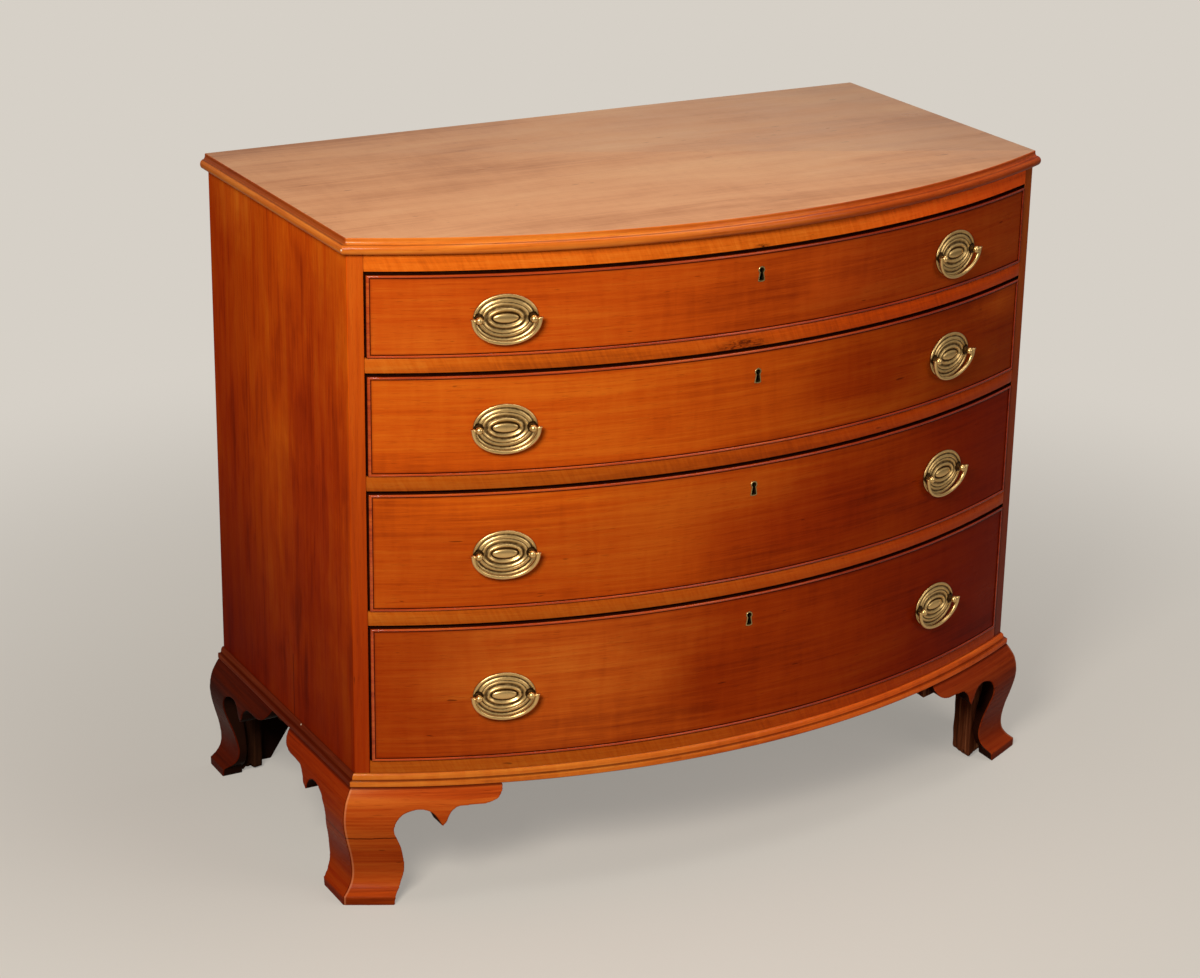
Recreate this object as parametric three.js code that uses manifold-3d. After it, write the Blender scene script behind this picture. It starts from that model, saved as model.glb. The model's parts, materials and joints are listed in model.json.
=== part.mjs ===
// Bow front chest of drawers on ogee bracket feet, in millimetres, +Z up.
// The front faces -Y, and the origin is on the floor under the middle of the whole chest.
import * as THREE from "three";
import { mergeVertices } from "three/addons/utils/BufferGeometryUtils.js";
import Module from "manifold-3d";

const wasm = await Module();
wasm.setup();

// Case
const CASE_WIDTH = 955;
const CASE_DEPTH = 425; // along the sides, from the back to the front corners
const BOW_RISE = 117; // how far the middle of the front stands ahead of its corners
const SIDE_THICKNESS = 17;
const BACK_THICKNESS = 10;
const BACK_RABBET = 9;
const GAP = 0.3; // glue line and seat between pieces that touch

// Heights, from the floor up, and the drawer openings from the top one down
const FOOT_HEIGHT = 152;
const BASE_MOULDING_HEIGHT = 16;
const BOTTOM_RAIL_SHOW = 14.5;
const OPENING_HEIGHTS = [103.5, 127, 152.5, 178];
const DIVIDER_HEIGHT = 17.5;
const TOP_RAIL_HEIGHT = 21;
const TOP_THICKNESS = 19;

// Top board: its moulded edge as shares of the reach and of the thickness
const TOP_REACH = 8.7; // how far the nose of the edge stands out from the case
const TOP_BACK_OVERHANG = 4;
const TOP_EDGE_SHARES = [
  [0.23, 1],
  [0.23, 0.88],
  [0.3, 0.76],
  [0.45, 0.66],
  [0.66, 0.6],
  [0.9, 0.5],
  [1, 0.34],
  [0.9, 0.17],
  [0.6, 0.04],
  [0.35, 0],
];

// Rails, dust boards and the grooves that hold them
const RAIL_DEPTH = 45; // at the ends; the bow makes the middle deeper
const DUST_THICKNESS = 10;
const GROOVE_DEPTH = 8;
const GROOVE_STOP = 15; // how far behind the front edge of a side its grooves end
const RAIL_LAP = 8;
const STOP_HEIGHT = 3.5;
const STOP_WIDTH = 30;
const STOP_DEPTH = 18;
const STOP_PLACE_SHARE = 0.33; // of the half width of the opening

// Base moulding: its section as shares of the reach and of the height, from the top down
const BASE_REACH = 8.2;
const BASE_SECTION_SHARES = [
  [0.1, 1],
  [0.28, 0.95],
  [0.45, 0.8],
  [0.52, 0.6],
  [0.52, 0.53],
  [1, 0.5],
  [1, 0],
];

// Ogee bracket feet
const OGEE_REACH = 21.5; // how far the bulge of a foot stands out from the case
const BRACKET_INSET = 4; // how far the back of a bracket lies inside the case's face
const FRONT_LEG_WIDTH = 56;
const SIDE_LEG_WIDTH = 64;
const BRACKET_REACH = 120; // from the leg's waist to the end of the bracket
const REAR_BOARD_THICKNESS = 20;
const REAR_BOARD_TOP = 152;
const REAR_BOARD_BOTTOM = 51.5;
const FRONT_BLOCK_WIDTH = 52;
const FRONT_BLOCK_BACK = 16; // how far a front corner block reaches behind the case's front corner
const REAR_BLOCK_WIDTH = 30;
const REAR_BLOCK_DEPTH = 24.5;
const BLOCK_LIFT = 2; // clearance of the corner blocks over the floor
const STRIP_SECTION = 20;
const STRIP_LENGTH = 165;

// The ogee's face: shares of the foot's height, from the top down, and of the reach
const OGEE_SHARES = [
  [0, 0.38],
  [0.05, 0.6],
  [0.125, 0.86],
  [0.235, 1],
  [0.34, 0.95],
  [0.46, 0.76],
  [0.58, 0.53],
  [0.685, 0.395],
  [0.765, 0.37],
  [0.83, 0.47],
  [0.885, 0.7],
  [0.928, 1.1],
  [1, 1.1],
];

// The bracket's lower edge: shares of the bracket's reach, counted from the leg's waist
// towards the middle of the chest, and of the foot's height, from the top down
const BRACKET_SHARES = [
  [1, 0],
  [0.985, 0.04],
  [0.955, 0.075],
  [0.9, 0.11],
  [0.78, 0.138],
  [0.53, 0.147],
  [0.455, 0.175],
  [0.41, 0.215],
  [0.38, 0.275],
  [0.34, 0.315],
  [0.3, 0.255],
  [0.24, 0.195],
  [0.15, 0.167],
  [0.06, 0.17],
  [-0.05, 0.2],
  [-0.115, 0.25],
  [-0.145, 0.31],
  [-0.14, 0.375],
  [-0.1, 0.44],
  [-0.045, 0.54],
  [0, 0.7],
  [-0.02, 0.79],
  [-0.07, 0.865],
  [-0.15, 0.925],
  [-0.165, 1],
];

// Drawers
const FRONT_THICKNESS = 22;
const FRONT_SIDE_CLEARANCE = 2.2;
const FRONT_TOP_CLEARANCE = 2.8;
const FRONT_BOTTOM_CLEARANCE = 0.8;
const BEAD_WIDTH = 3.2;
const BEAD_STAND = 1.8; // how far the cockbead stands proud of the drawer front
const BOARD_THICKNESS = 10; // drawer sides and backs
const SIDE_DROP = 4; // how far a drawer's sides lie below the top of its front
const BACK_DROP = 6; // how far a drawer's back lies below its sides
const REAR_CLEARANCE = 8;
const BOTTOM_THICKNESS = 7;
const BOTTOM_RAISE = 8;
const BOTTOM_GROOVE = 5;
const TAIL_PITCH = 36;
const TAIL_LAP = 6; // wood left in front of the half-blind tails
const TAIL_ROOT_SHARE = 0.27; // half width of a tail at its root, of the pitch
const TAIL_END_SHARE = 0.37;
const PIN_ROOT_SHARE = 0.22;
const PIN_END_SHARE = 0.12;

// Pulls: an oval plate, two posts that hold the bail, bolts and nuts
const PULL_PLACE = 313; // from the middle of the chest, along X
const PULL_DROP = 5.5; // below the middle of the opening
const PLATE_WIDTH = 76.5;
const PLATE_HEIGHT = 57.5;
const PLATE_SIDES = 16;
const PLATE_RINGS = [
  { inset: 1.2, height: 2.8 },
  { inset: 5, height: 1.2 },
  { inset: 9, height: 3.4 },
  { inset: 17, height: 3.8 },
];
const PLATE_CENTRE_HEIGHT = 2.8;
const POST_SPACING = 63.5;
const POST_RADIUS = 4;
const POST_HEIGHT = 13;
const POST_CROWN = 1.6;
const PIVOT_HEIGHT = 9.5; // of the bail's pin, over the face of the drawer front
const PIN_RADIUS = 1.5;
const PIN_CLEARANCE = 0.45;
const PIN_OVERHANG = 0.8; // how far the pin reaches past the inner side of its post
const BOLT_RADIUS = 2;
const NUT_RADIUS = 5;
const NUT_HEIGHT = 4;
const BAIL_WIDTH = 85.6;
const BAIL_DROP = 33;
const BAIL_RADIUS = 2.5;
const BAIL_TIP_RADIUS = 1.9;
const BAIL_STEPS = 12;
const ROUND_SIDES = 8;

// Locks with a brass lined keyhole, their keyholes down from the top of each front
const KEYHOLE_DROPS = [29.5, 34.5, 33.5, 34.5];
const KEYHOLE_HEIGHT = 18.5;
const KEYHOLE_RADIUS = 4; // outer radius of the lining's round top
const KEYHOLE_WALL = 1.4;
const KEYHOLE_WAIST_SHARE = 0.62;
const KEYHOLE_FOOT_SHARE = 1.05;
const KEYHOLE_DEPTH = 14;
const LOCK_WIDTH = 60;
const LOCK_DEPTH = 10;
const LOCK_TAIL = 17; // how far the lock's case reaches below the keyhole's middle
const LOCK_PLATE = 1; // how far the lock's plate stands behind the drawer front
const SELVAGE_THICKNESS = 2;

// How finely the bow is cut into flats
const STATIONS = 9; // flats on each side of the middle
const OVERRUN = 5; // how far a cutting solid runs past what it cuts
const WELD = 0.0001;

// Sizes worked out from the ones above
const OPENING_HALF = CASE_WIDTH / 2 - SIDE_THICKNESS;
const TOTAL_DEPTH = CASE_DEPTH + BOW_RISE + TOP_REACH + TOP_BACK_OVERHANG;
const BACK_Y = TOTAL_DEPTH / 2 - TOP_BACK_OVERHANG;
const CORNER_Y = BACK_Y - CASE_DEPTH;
const BOW_RADIUS = ((CASE_WIDTH / 2) ** 2 + BOW_RISE ** 2) / (2 * BOW_RISE);
const BOW_CENTRE_Y = CORNER_Y - BOW_RISE + BOW_RADIUS;
const LAST_STATION = CASE_WIDTH / 2 + OGEE_REACH + OVERRUN;
const STATION_ANGLE = Math.asin(LAST_STATION / BOW_RADIUS) / STATIONS;
const FLAT_SAG = BOW_RADIUS * (1 - Math.cos(STATION_ANGLE / 2));
const RAIL_BASE = FOOT_HEIGHT + BASE_MOULDING_HEIGHT;
const RAIL_BACK_Y = CORNER_Y + RAIL_DEPTH;
const DUST_BACK_Y = BACK_Y - BACK_THICKNESS - GAP;
const DRAWER_REAR_Y = BACK_Y - BACK_THICKNESS - REAR_CLEARANCE;
const FRONT_HALF = OPENING_HALF - FRONT_SIDE_CLEARANCE;
const INNER_HALF = FRONT_HALF - BOARD_THICKNESS;
const openings = drawerOpenings();
const TOP_UNDERSIDE = openings[0].high + TOP_RAIL_HEIGHT;

function drawerOpenings() {
  const found = [];
  let low = RAIL_BASE + BOTTOM_RAIL_SHOW;
  for (const height of [...OPENING_HEIGHTS].reverse()) {
    found.unshift({ low, high: low + height, height });
    low += height + DIVIDER_HEIGHT;
  }
  return found;
}

// The bow. An offset is counted outwards from the case's front face.
function stationPoint(offset, station) {
  const angle = station * STATION_ANGLE;
  const radius = BOW_RADIUS + offset;
  return new THREE.Vector2(radius * Math.sin(angle), BOW_CENTRE_Y - radius * Math.cos(angle));
}

function bowY(offset, x) {
  const reach = Math.abs(x);
  const angle = Math.asin(Math.min(1, reach / (BOW_RADIUS + offset)));
  const station = Math.min(STATIONS - 1, Math.floor(angle / STATION_ANGLE));
  const near = stationPoint(offset, station);
  const far = stationPoint(offset, station + 1);
  return near.y + ((far.y - near.y) * (reach - near.x)) / (far.x - near.x);
}

function stationsBetween(offset, from, to) {
  const found = [];
  for (let station = -STATIONS; station <= STATIONS; station += 1) {
    const x = stationPoint(offset, station).x;
    if (x > from + GAP && x < to - GAP) found.push(station);
  }
  return found;
}

function bowLine(offset, from, to) {
  const middle = stationsBetween(offset, from, to).map((station) => stationPoint(offset, station));
  const start = new THREE.Vector2(from, bowY(offset, from));
  return [start, ...middle, new THREE.Vector2(to, bowY(offset, to))];
}

// Solids
function solid(geometry) {
  const bare = new THREE.BufferGeometry();
  bare.setAttribute("position", geometry.getAttribute("position"));
  bare.setIndex(geometry.getIndex());
  const welded = mergeVertices(bare, WELD);
  const points = welded.getAttribute("position").array;
  const index = welded.getIndex().array;
  const faces = [];
  for (let i = 0; i < index.length; i += 3) {
    const [a, b, c] = [index[i], index[i + 1], index[i + 2]];
    if (a !== b && b !== c && c !== a) faces.push([a, b, c]);
  }
  if (signedVolume(points, faces) < 0) faces.forEach((face) => face.reverse());
  const mesh = new wasm.Mesh({
    numProp: 3,
    vertProperties: new Float32Array(points),
    triVerts: new Uint32Array(faces.flat()),
  });
  return new wasm.Manifold(mesh);
}

function signedVolume(points, faces) {
  const corner = (i) => new THREE.Vector3().fromArray(points, 3 * i);
  let sum = 0;
  for (const [a, b, c] of faces) sum += corner(a).dot(corner(b).cross(corner(c)));
  return sum;
}

function geometryOf(manifold) {
  const { vertProperties, triVerts, numProp } = manifold.getMesh();
  const geometry = new THREE.BufferGeometry();
  const points = new Float32Array((vertProperties.length / numProp) * 3);
  for (let i = 0; i < points.length / 3; i += 1) {
    for (let axis = 0; axis < 3; axis += 1) points[3 * i + axis] = vertProperties[numProp * i + axis];
  }
  geometry.setAttribute("position", new THREE.BufferAttribute(points, 3));
  geometry.setIndex(new THREE.BufferAttribute(new Uint32Array(triVerts), 1));
  const flat = geometry.toNonIndexed();
  flat.computeVertexNormals();
  return flat;
}

function join(...pieces) {
  return pieces.reduce((whole, piece) => whole.add(piece));
}

function cut(whole, ...tools) {
  return tools.reduce((rest, tool) => rest.subtract(tool), whole);
}

function span(a, b) {
  return a < b ? [a, b] : [b, a];
}

function box(xs, ys, zs) {
  const [[x0, x1], [y0, y1], [z0, z1]] = [span(...xs), span(...ys), span(...zs)];
  const geometry = new THREE.BoxGeometry(x1 - x0, y1 - y0, z1 - z0);
  geometry.translate((x0 + x1) / 2, (y0 + y1) / 2, (z0 + z1) / 2);
  return solid(geometry);
}

function extruded(points, from, to) {
  const [low, high] = span(from, to);
  const geometry = new THREE.ExtrudeGeometry(new THREE.Shape(points), {
    depth: high - low,
    bevelEnabled: false,
  });
  geometry.translate(0, 0, low);
  return geometry;
}

// A prism that stands on a plan outline
function upright(points, from, to) {
  return solid(extruded(points, from, to));
}

// A prism along X, from an outline whose points are (y, z)
function alongX(points, from, to) {
  const turn = new THREE.Matrix4().makeBasis(
    new THREE.Vector3(0, 1, 0),
    new THREE.Vector3(0, 0, 1),
    new THREE.Vector3(1, 0, 0),
  );
  return solid(extruded(points, from, to).applyMatrix4(turn));
}

// A prism along Y, from an outline whose points are (x, z)
function alongY(points, from, to) {
  return solid(extruded(points, -from, -to).rotateX(Math.PI / 2));
}

function vectors(pairs) {
  return pairs.map(([a, b]) => new THREE.Vector2(a, b));
}

// A closed section of (offset, z) points carried along the bow, between two ends
// that may follow the offset, as a mitre does
function alongBow(section, startX, endX) {
  const starts = section.map(([offset]) => startX(offset));
  const ends = section.map(([offset]) => endX(offset));
  const offsets = section.map(([offset]) => offset);
  const middle = stationsBetween(Math.min(...offsets), Math.max(...starts), Infinity).filter(
    (station) => stationPoint(Math.max(...offsets), station).x < Math.min(...ends) - GAP,
  );
  const rings = [
    section.map(([offset, z], i) => [starts[i], bowY(offset, starts[i]), z]),
    ...middle.map((station) =>
      section.map(([offset, z]) => {
        const point = stationPoint(offset, station);
        return [point.x, point.y, z];
      }),
    ),
    section.map(([offset, z], i) => [ends[i], bowY(offset, ends[i]), z]),
  ];
  return loft(rings, vectors(section));
}

// Rings of equal counts joined side by side, each end closed over its outline
function loft(rings, outline) {
  const count = rings[0].length;
  const index = [];
  for (let ring = 0; ring < rings.length - 1; ring += 1) {
    for (let i = 0; i < count; i += 1) {
      const a = ring * count + i;
      const b = ring * count + ((i + 1) % count);
      index.push(a, b, b + count, a, b + count, a + count);
    }
  }
  const last = (rings.length - 1) * count;
  const clockwise = THREE.ShapeUtils.isClockWise(outline);
  for (const [a, b, c] of THREE.ShapeUtils.triangulateShape([...outline], [])) {
    const [first, third] = clockwise ? [a, c] : [c, a];
    index.push(first, b, third);
    index.push(last + third, last + b, last + first);
  }
  const geometry = new THREE.BufferGeometry();
  geometry.setAttribute("position", new THREE.Float32BufferAttribute(rings.flat(2), 3));
  geometry.setIndex(index);
  return solid(geometry);
}

function cylinder(radius, from, to, sides = ROUND_SIDES) {
  const [low, high] = span(from, to);
  const geometry = new THREE.CylinderGeometry(radius, radius, high - low, sides);
  geometry.rotateX(Math.PI / 2);
  geometry.translate(0, 0, (low + high) / 2);
  return geometry;
}

// Finishes
function finish(color, roughness, metalness = 0) {
  return new THREE.MeshStandardMaterial({ color, roughness, metalness });
}

const topWood = finish(0xc08a5e, 0.35);
const sideWood = finish(0x8c3a18, 0.35);
const frontWood = finish(0xb5481a, 0.32);
const railWood = finish(0xc9641f, 0.35);
const mouldingWood = finish(0xc25f22, 0.35);
const footWood = finish(0x9c3d17, 0.35);
const innerWood = finish(0xb99468, 0.7);
const brass = finish(0x9c8148, 0.35, 1);
const lockMetal = finish(0x7a6a45, 0.45, 1);

const chest = new THREE.Group();

function place(group, name, shape, material) {
  const mesh = new THREE.Mesh(geometryOf(shape), material);
  mesh.name = name;
  group.add(mesh);
  return mesh;
}

// Top board: every ring is the plan outline at one height of the moulded edge
function topRing(reachShare, heightShare) {
  const reach = TOP_REACH * reachShare;
  const half = CASE_WIDTH / 2 + reach;
  const back = BACK_Y + TOP_BACK_OVERHANG;
  const z = TOP_UNDERSIDE + TOP_THICKNESS * heightShare;
  const middle = stationsBetween(0, -CASE_WIDTH / 2, CASE_WIDTH / 2);
  return [
    [-half, back, z],
    [-half, bowY(reach, half), z],
    ...middle.map((station) => [...stationPoint(reach, station).toArray(), z]),
    [half, bowY(reach, half), z],
    [half, back, z],
  ];
}

function topBoard() {
  const rings = TOP_EDGE_SHARES.map(([reachShare, heightShare]) => topRing(reachShare, heightShare));
  return loft(rings, vectors(rings[0]));
}

// Case sides: grooved for the rails and dust boards, and rabbeted for the back
function grooveLevels() {
  return [...openings.map((opening) => opening.low), TOP_UNDERSIDE];
}

function caseSide(side) {
  const outer = CASE_WIDTH / 2;
  const plan = vectors([
    [outer, BACK_Y],
    [outer, bowY(0, outer)],
    [OPENING_HALF, bowY(0, OPENING_HALF)],
    [OPENING_HALF, BACK_Y],
  ]);
  const board = upright(plan, FOOT_HEIGHT, TOP_UNDERSIDE - GAP);
  const frontEnd = bowY(0, OPENING_HALF) + GROOVE_STOP - GAP;
  const grooves = grooveLevels().map((level) =>
    box(
      [OPENING_HALF - OVERRUN, OPENING_HALF + GROOVE_DEPTH + GAP],
      [frontEnd, BACK_Y + OVERRUN],
      [level - DUST_THICKNESS - GAP, level + GAP],
    ),
  );
  const rabbet = box(
    [OPENING_HALF - OVERRUN, OPENING_HALF + BACK_RABBET],
    [BACK_Y - BACK_THICKNESS - GAP, BACK_Y + OVERRUN],
    [0, TOP_UNDERSIDE + OVERRUN],
  );
  const shape = cut(board, ...grooves, rabbet);
  return side < 0 ? shape.mirror([1, 0, 0]) : shape;
}

function backPanel() {
  const half = OPENING_HALF + BACK_RABBET - GAP;
  return box([-half, half], [BACK_Y - BACK_THICKNESS, BACK_Y], [FOOT_HEIGHT, TOP_UNDERSIDE - GAP]);
}

// Rails: bowed in front and straight behind, with a tongue in the groove of each side.
// A lapped one carries a dust board in a rabbet behind, and the stops of the drawer above.
function rail(low, high, lapped) {
  const half = OPENING_HALF - GAP;
  const plan = [...bowLine(0, -half, half), ...vectors([[half, RAIL_BACK_Y], [-half, RAIL_BACK_Y]])];
  const body = upright(plan, low, high);
  const tongueBack = lapped ? RAIL_BACK_Y - RAIL_LAP - GAP : RAIL_BACK_Y;
  const tongueHalf = OPENING_HALF + GROOVE_DEPTH;
  const tongueFront = bowY(0, OPENING_HALF) + GROOVE_STOP;
  const tongueHeights = [high - DUST_THICKNESS, high];
  const tongues = [-1, 1].map((side) =>
    box([side * tongueHalf, side * (half - OVERRUN)], [tongueFront, tongueBack], tongueHeights),
  );
  const lap = box(
    [-tongueHalf, tongueHalf],
    [RAIL_BACK_Y - RAIL_LAP - GAP, RAIL_BACK_Y + OVERRUN],
    [high - DUST_THICKNESS - GAP, high + OVERRUN],
  );
  const shape = join(lapped ? cut(body, lap) : body, ...tongues);
  return lapped ? join(shape, ...drawerStops(high)) : shape;
}

// Two blocks on a rail that the back of the drawer front comes to rest on
function drawerStops(seat) {
  const middle = OPENING_HALF * STOP_PLACE_SHARE;
  const front = bowY(-FRONT_THICKNESS, middle + STOP_WIDTH / 2) + GAP;
  return [-1, 1].map((side) =>
    box(
      [side * middle - STOP_WIDTH / 2, side * middle + STOP_WIDTH / 2],
      [front, front + STOP_DEPTH],
      [seat - OVERRUN, seat + STOP_HEIGHT],
    ),
  );
}

function dustBoard(level) {
  const half = OPENING_HALF + GROOVE_DEPTH;
  return box([-half, half], [RAIL_BACK_Y - RAIL_LAP, DUST_BACK_Y], [level - DUST_THICKNESS, level]);
}

// Base moulding: three lengths, mitred at the front corners
function baseSection() {
  const outline = BASE_SECTION_SHARES.map(([reach, height]) => [
    GAP + (BASE_REACH - GAP) * reach,
    FOOT_HEIGHT + BASE_MOULDING_HEIGHT * height,
  ]);
  return [[GAP, RAIL_BASE], ...outline, [GAP, FOOT_HEIGHT]];
}

function frontMoulding() {
  return alongBow(
    baseSection(),
    (reach) => -CASE_WIDTH / 2 - reach,
    (reach) => CASE_WIDTH / 2 + reach,
  );
}

function sideMoulding(side) {
  const section = baseSection();
  const corner = ([reach]) => side * (CASE_WIDTH / 2 + reach);
  const rings = [
    section.map((point) => [corner(point), bowY(point[0], CASE_WIDTH / 2 + point[0]) + GAP, point[1]]),
    section.map((point) => [corner(point), BACK_Y, point[1]]),
  ];
  return loft(rings, vectors(section));
}

// Feet. The ogee's section runs down the face of a bracket, as (offset, z) points.
function ogeeSection(inner) {
  const face = OGEE_SHARES.map(([down, reach]) => [
    OGEE_REACH * reach,
    (FOOT_HEIGHT - GAP) * (1 - down),
  ]);
  return [[inner, FOOT_HEIGHT - GAP], ...face, [inner, 0]];
}

// The bracket's outline as (distance, z) points, counted from the case's corner inwards
function bracketOutline(legWidth) {
  const edge = BRACKET_SHARES.map(([along, down]) => [
    legWidth + BRACKET_REACH * along,
    FOOT_HEIGHT * (1 - down),
  ]);
  const outside = -OGEE_REACH - OVERRUN;
  return [[outside, FOOT_HEIGHT], ...edge, [outside, 0]];
}

// A side bracket on the right, whose corner is the front one or the rear one
function sideBracket(cornerY, inwards) {
  const section = ogeeSection(-BRACKET_INSET).map(([reach, z]) => [CASE_WIDTH / 2 + reach, z]);
  const reachY = SIDE_LEG_WIDTH + BRACKET_REACH + OVERRUN;
  const outer = cornerY - inwards * (OGEE_REACH + OVERRUN);
  const bar = alongY(vectors(section), outer, cornerY + inwards * reachY);
  const outline = bracketOutline(SIDE_LEG_WIDTH).map(([along, z]) => [cornerY + inwards * along, z]);
  return bar.intersect(alongX(vectors(outline), 0, CASE_WIDTH));
}

// The front bracket on the right follows the bow, so its outline is laid along the arc
function frontBracket() {
  const cornerAngle = Math.asin(CASE_WIDTH / 2 / BOW_RADIUS);
  const chord = (along) => BOW_RADIUS * Math.sin(cornerAngle - along / BOW_RADIUS);
  const inner = chord(FRONT_LEG_WIDTH + BRACKET_REACH + OVERRUN);
  const bar = alongBow(ogeeSection(-BRACKET_INSET), () => inner, () => LAST_STATION);
  const outline = bracketOutline(FRONT_LEG_WIDTH).map(([along, z]) => [chord(along), z]);
  return bar.intersect(alongY(vectors(outline), -TOTAL_DEPTH, 0));
}

// Everything behind the front ogee face, and everything inside the side ogee face
function behindFrontFace() {
  return alongBow(ogeeSection(-CASE_DEPTH / 2), () => 0, () => LAST_STATION);
}

function insideSideFace() {
  const section = ogeeSection(-CASE_WIDTH / 2).map(([reach, z]) => [CASE_WIDTH / 2 + reach, z]);
  return alongY(vectors(section), -TOTAL_DEPTH, TOTAL_DEPTH);
}

// The front corner block is planed to the bow, and the rear one is square
function frontBlock() {
  const innerX = CASE_WIDTH / 2 - BRACKET_INSET + GAP;
  const endX = innerX - FRONT_BLOCK_WIDTH;
  const rearY = CORNER_Y + FRONT_BLOCK_BACK;
  const plan = [...bowLine(GAP - BRACKET_INSET, endX, innerX), ...vectors([[innerX, rearY], [endX, rearY]])];
  return upright(plan, BLOCK_LIFT, FOOT_HEIGHT - GAP);
}

function rearBlock(cornerX, cornerY) {
  const heights = [BLOCK_LIFT, FOOT_HEIGHT - GAP];
  return box([cornerX, cornerX - REAR_BLOCK_WIDTH], [cornerY, cornerY - REAR_BLOCK_DEPTH], heights);
}

// Glue strips under the case, behind the upper edge of the brackets
function sideStrip(cornerY, inwards) {
  const outer = CASE_WIDTH / 2 - BRACKET_INSET + GAP;
  const heights = [FOOT_HEIGHT - GAP - STRIP_SECTION, FOOT_HEIGHT - GAP];
  return box([outer, outer - STRIP_SECTION], [cornerY, cornerY + inwards * STRIP_LENGTH], heights);
}

function frontStrip() {
  const outer = GAP - BRACKET_INSET;
  const high = FOOT_HEIGHT - GAP;
  const section = [
    [outer, high],
    [outer, high - STRIP_SECTION],
    [outer - STRIP_SECTION, high - STRIP_SECTION],
    [outer - STRIP_SECTION, high],
  ];
  const cornerX = CASE_WIDTH / 2 - BRACKET_INSET;
  return alongBow(section, () => cornerX - STRIP_LENGTH, () => cornerX - STRIP_SECTION);
}

function frontFoot(side) {
  const cornerY = bowY(0, CASE_WIDTH / 2);
  const innerX = CASE_WIDTH / 2 - BRACKET_INSET;
  const blockY = bowY(-BRACKET_INSET, innerX) - GAP;
  const shape = join(
    sideBracket(cornerY, 1).intersect(behindFrontFace()),
    frontBracket().intersect(insideSideFace()),
    frontBlock(),
    sideStrip(blockY, 1),
    frontStrip(),
  );
  return side < 0 ? shape.mirror([1, 0, 0]) : shape;
}

// The rear foot has a plain board behind, cut off on a slant
function rearFoot(side) {
  const innerX = CASE_WIDTH / 2 - BRACKET_INSET + GAP;
  const high = FOOT_HEIGHT - GAP;
  const board = alongY(
    vectors([
      [innerX, 0],
      [innerX, high],
      [innerX - REAR_BOARD_TOP, high],
      [innerX - REAR_BOARD_BOTTOM, 0],
    ]),
    BACK_Y - REAR_BOARD_THICKNESS,
    BACK_Y,
  );
  const face = box([0, CASE_WIDTH], [BACK_Y, BACK_Y + OGEE_REACH + 2 * OVERRUN], [-OVERRUN, FOOT_HEIGHT]);
  const blockY = BACK_Y - REAR_BOARD_THICKNESS + GAP;
  const shape = join(
    cut(sideBracket(BACK_Y, -1), face),
    board,
    rearBlock(innerX, blockY),
    sideStrip(blockY, -1),
  );
  return side < 0 ? shape.mirror([1, 0, 0]) : shape;
}

// Drawers. Heights are counted from the rail that the drawer runs on.
function drawerSizes(opening) {
  const frontHigh = opening.height - FRONT_TOP_CLEARANCE;
  const sideHigh = frontHigh - SIDE_DROP;
  const bottomLow = GAP + BOTTOM_RAISE;
  return {
    frontLow: FRONT_BOTTOM_CLEARANCE,
    frontHigh,
    sideLow: GAP,
    sideHigh,
    bottomLow,
    bottomHigh: bottomLow + BOTTOM_THICKNESS,
    backLow: bottomLow + BOTTOM_THICKNESS + GAP,
    backHigh: sideHigh - BACK_DROP,
    pullZ: opening.height / 2 - PULL_DROP,
  };
}

function evenPlaces(low, high) {
  const count = Math.max(2, Math.round((high - low) / TAIL_PITCH));
  const pitch = (high - low) / count;
  return Array.from({ length: count }, (_, i) => ({ z: low + pitch * (i + 0.5), pitch }));
}

// A tail or pin seen from the side: half as wide as rootWide at its root
function flare(rootY, endY, z, rootWide, endWide, grow) {
  const away = Math.sign(endY - rootY);
  const points = vectors([
    [rootY - away * OVERRUN, z - rootWide - grow],
    [rootY, z - rootWide - grow],
    [endY + away * grow, z - endWide - grow],
    [endY + away * grow, z + endWide + grow],
    [rootY, z + rootWide + grow],
    [rootY - away * OVERRUN, z + rootWide + grow],
  ]);
  return away < 0 ? points.reverse() : points;
}

// The half-blind tails at the front end of the right-hand side
function tails(sizes, grow) {
  const endY = bowY(0, FRONT_HALF) + TAIL_LAP;
  const rootY = bowY(-FRONT_THICKNESS, FRONT_HALF);
  const xs = grow ? [INNER_HALF - grow, FRONT_HALF + OVERRUN] : [INNER_HALF, FRONT_HALF];
  return evenPlaces(sizes.sideLow, sizes.sideHigh).map(({ z, pitch }) =>
    alongX(flare(rootY, endY, z, pitch * TAIL_ROOT_SHARE, pitch * TAIL_END_SHARE, grow), ...xs),
  );
}

// The pins of the back board that pass through the right-hand side
function pins(sizes, grow) {
  const rootY = DRAWER_REAR_Y - BOARD_THICKNESS;
  const xs = grow
    ? [INNER_HALF - OVERRUN, FRONT_HALF + OVERRUN]
    : [INNER_HALF - GAP - OVERRUN, FRONT_HALF];
  return evenPlaces(sizes.backLow, sizes.backHigh).map(({ z, pitch }) => {
    const [root, end] = [pitch * PIN_ROOT_SHARE + grow, pitch * PIN_END_SHARE + grow];
    const points = vectors([
      [rootY - grow, z - root],
      [DRAWER_REAR_Y + (grow ? OVERRUN : 0), z - end],
      [DRAWER_REAR_Y + (grow ? OVERRUN : 0), z + end],
      [rootY - grow, z + root],
    ]);
    return alongX(points, ...xs);
  });
}

function drawerBottom(sizes, grow = 0) {
  const half = INNER_HALF + BOTTOM_GROOVE - GAP + grow;
  const front = bowLine(BOTTOM_GROOVE - GAP - FRONT_THICKNESS + grow, -half, half);
  const rear = DRAWER_REAR_Y + (grow ? OVERRUN : 0);
  const plan = [...front, ...vectors([[half, rear], [-half, rear]])];
  return upright(plan, sizes.bottomLow - grow, sizes.bottomHigh + grow);
}

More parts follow.
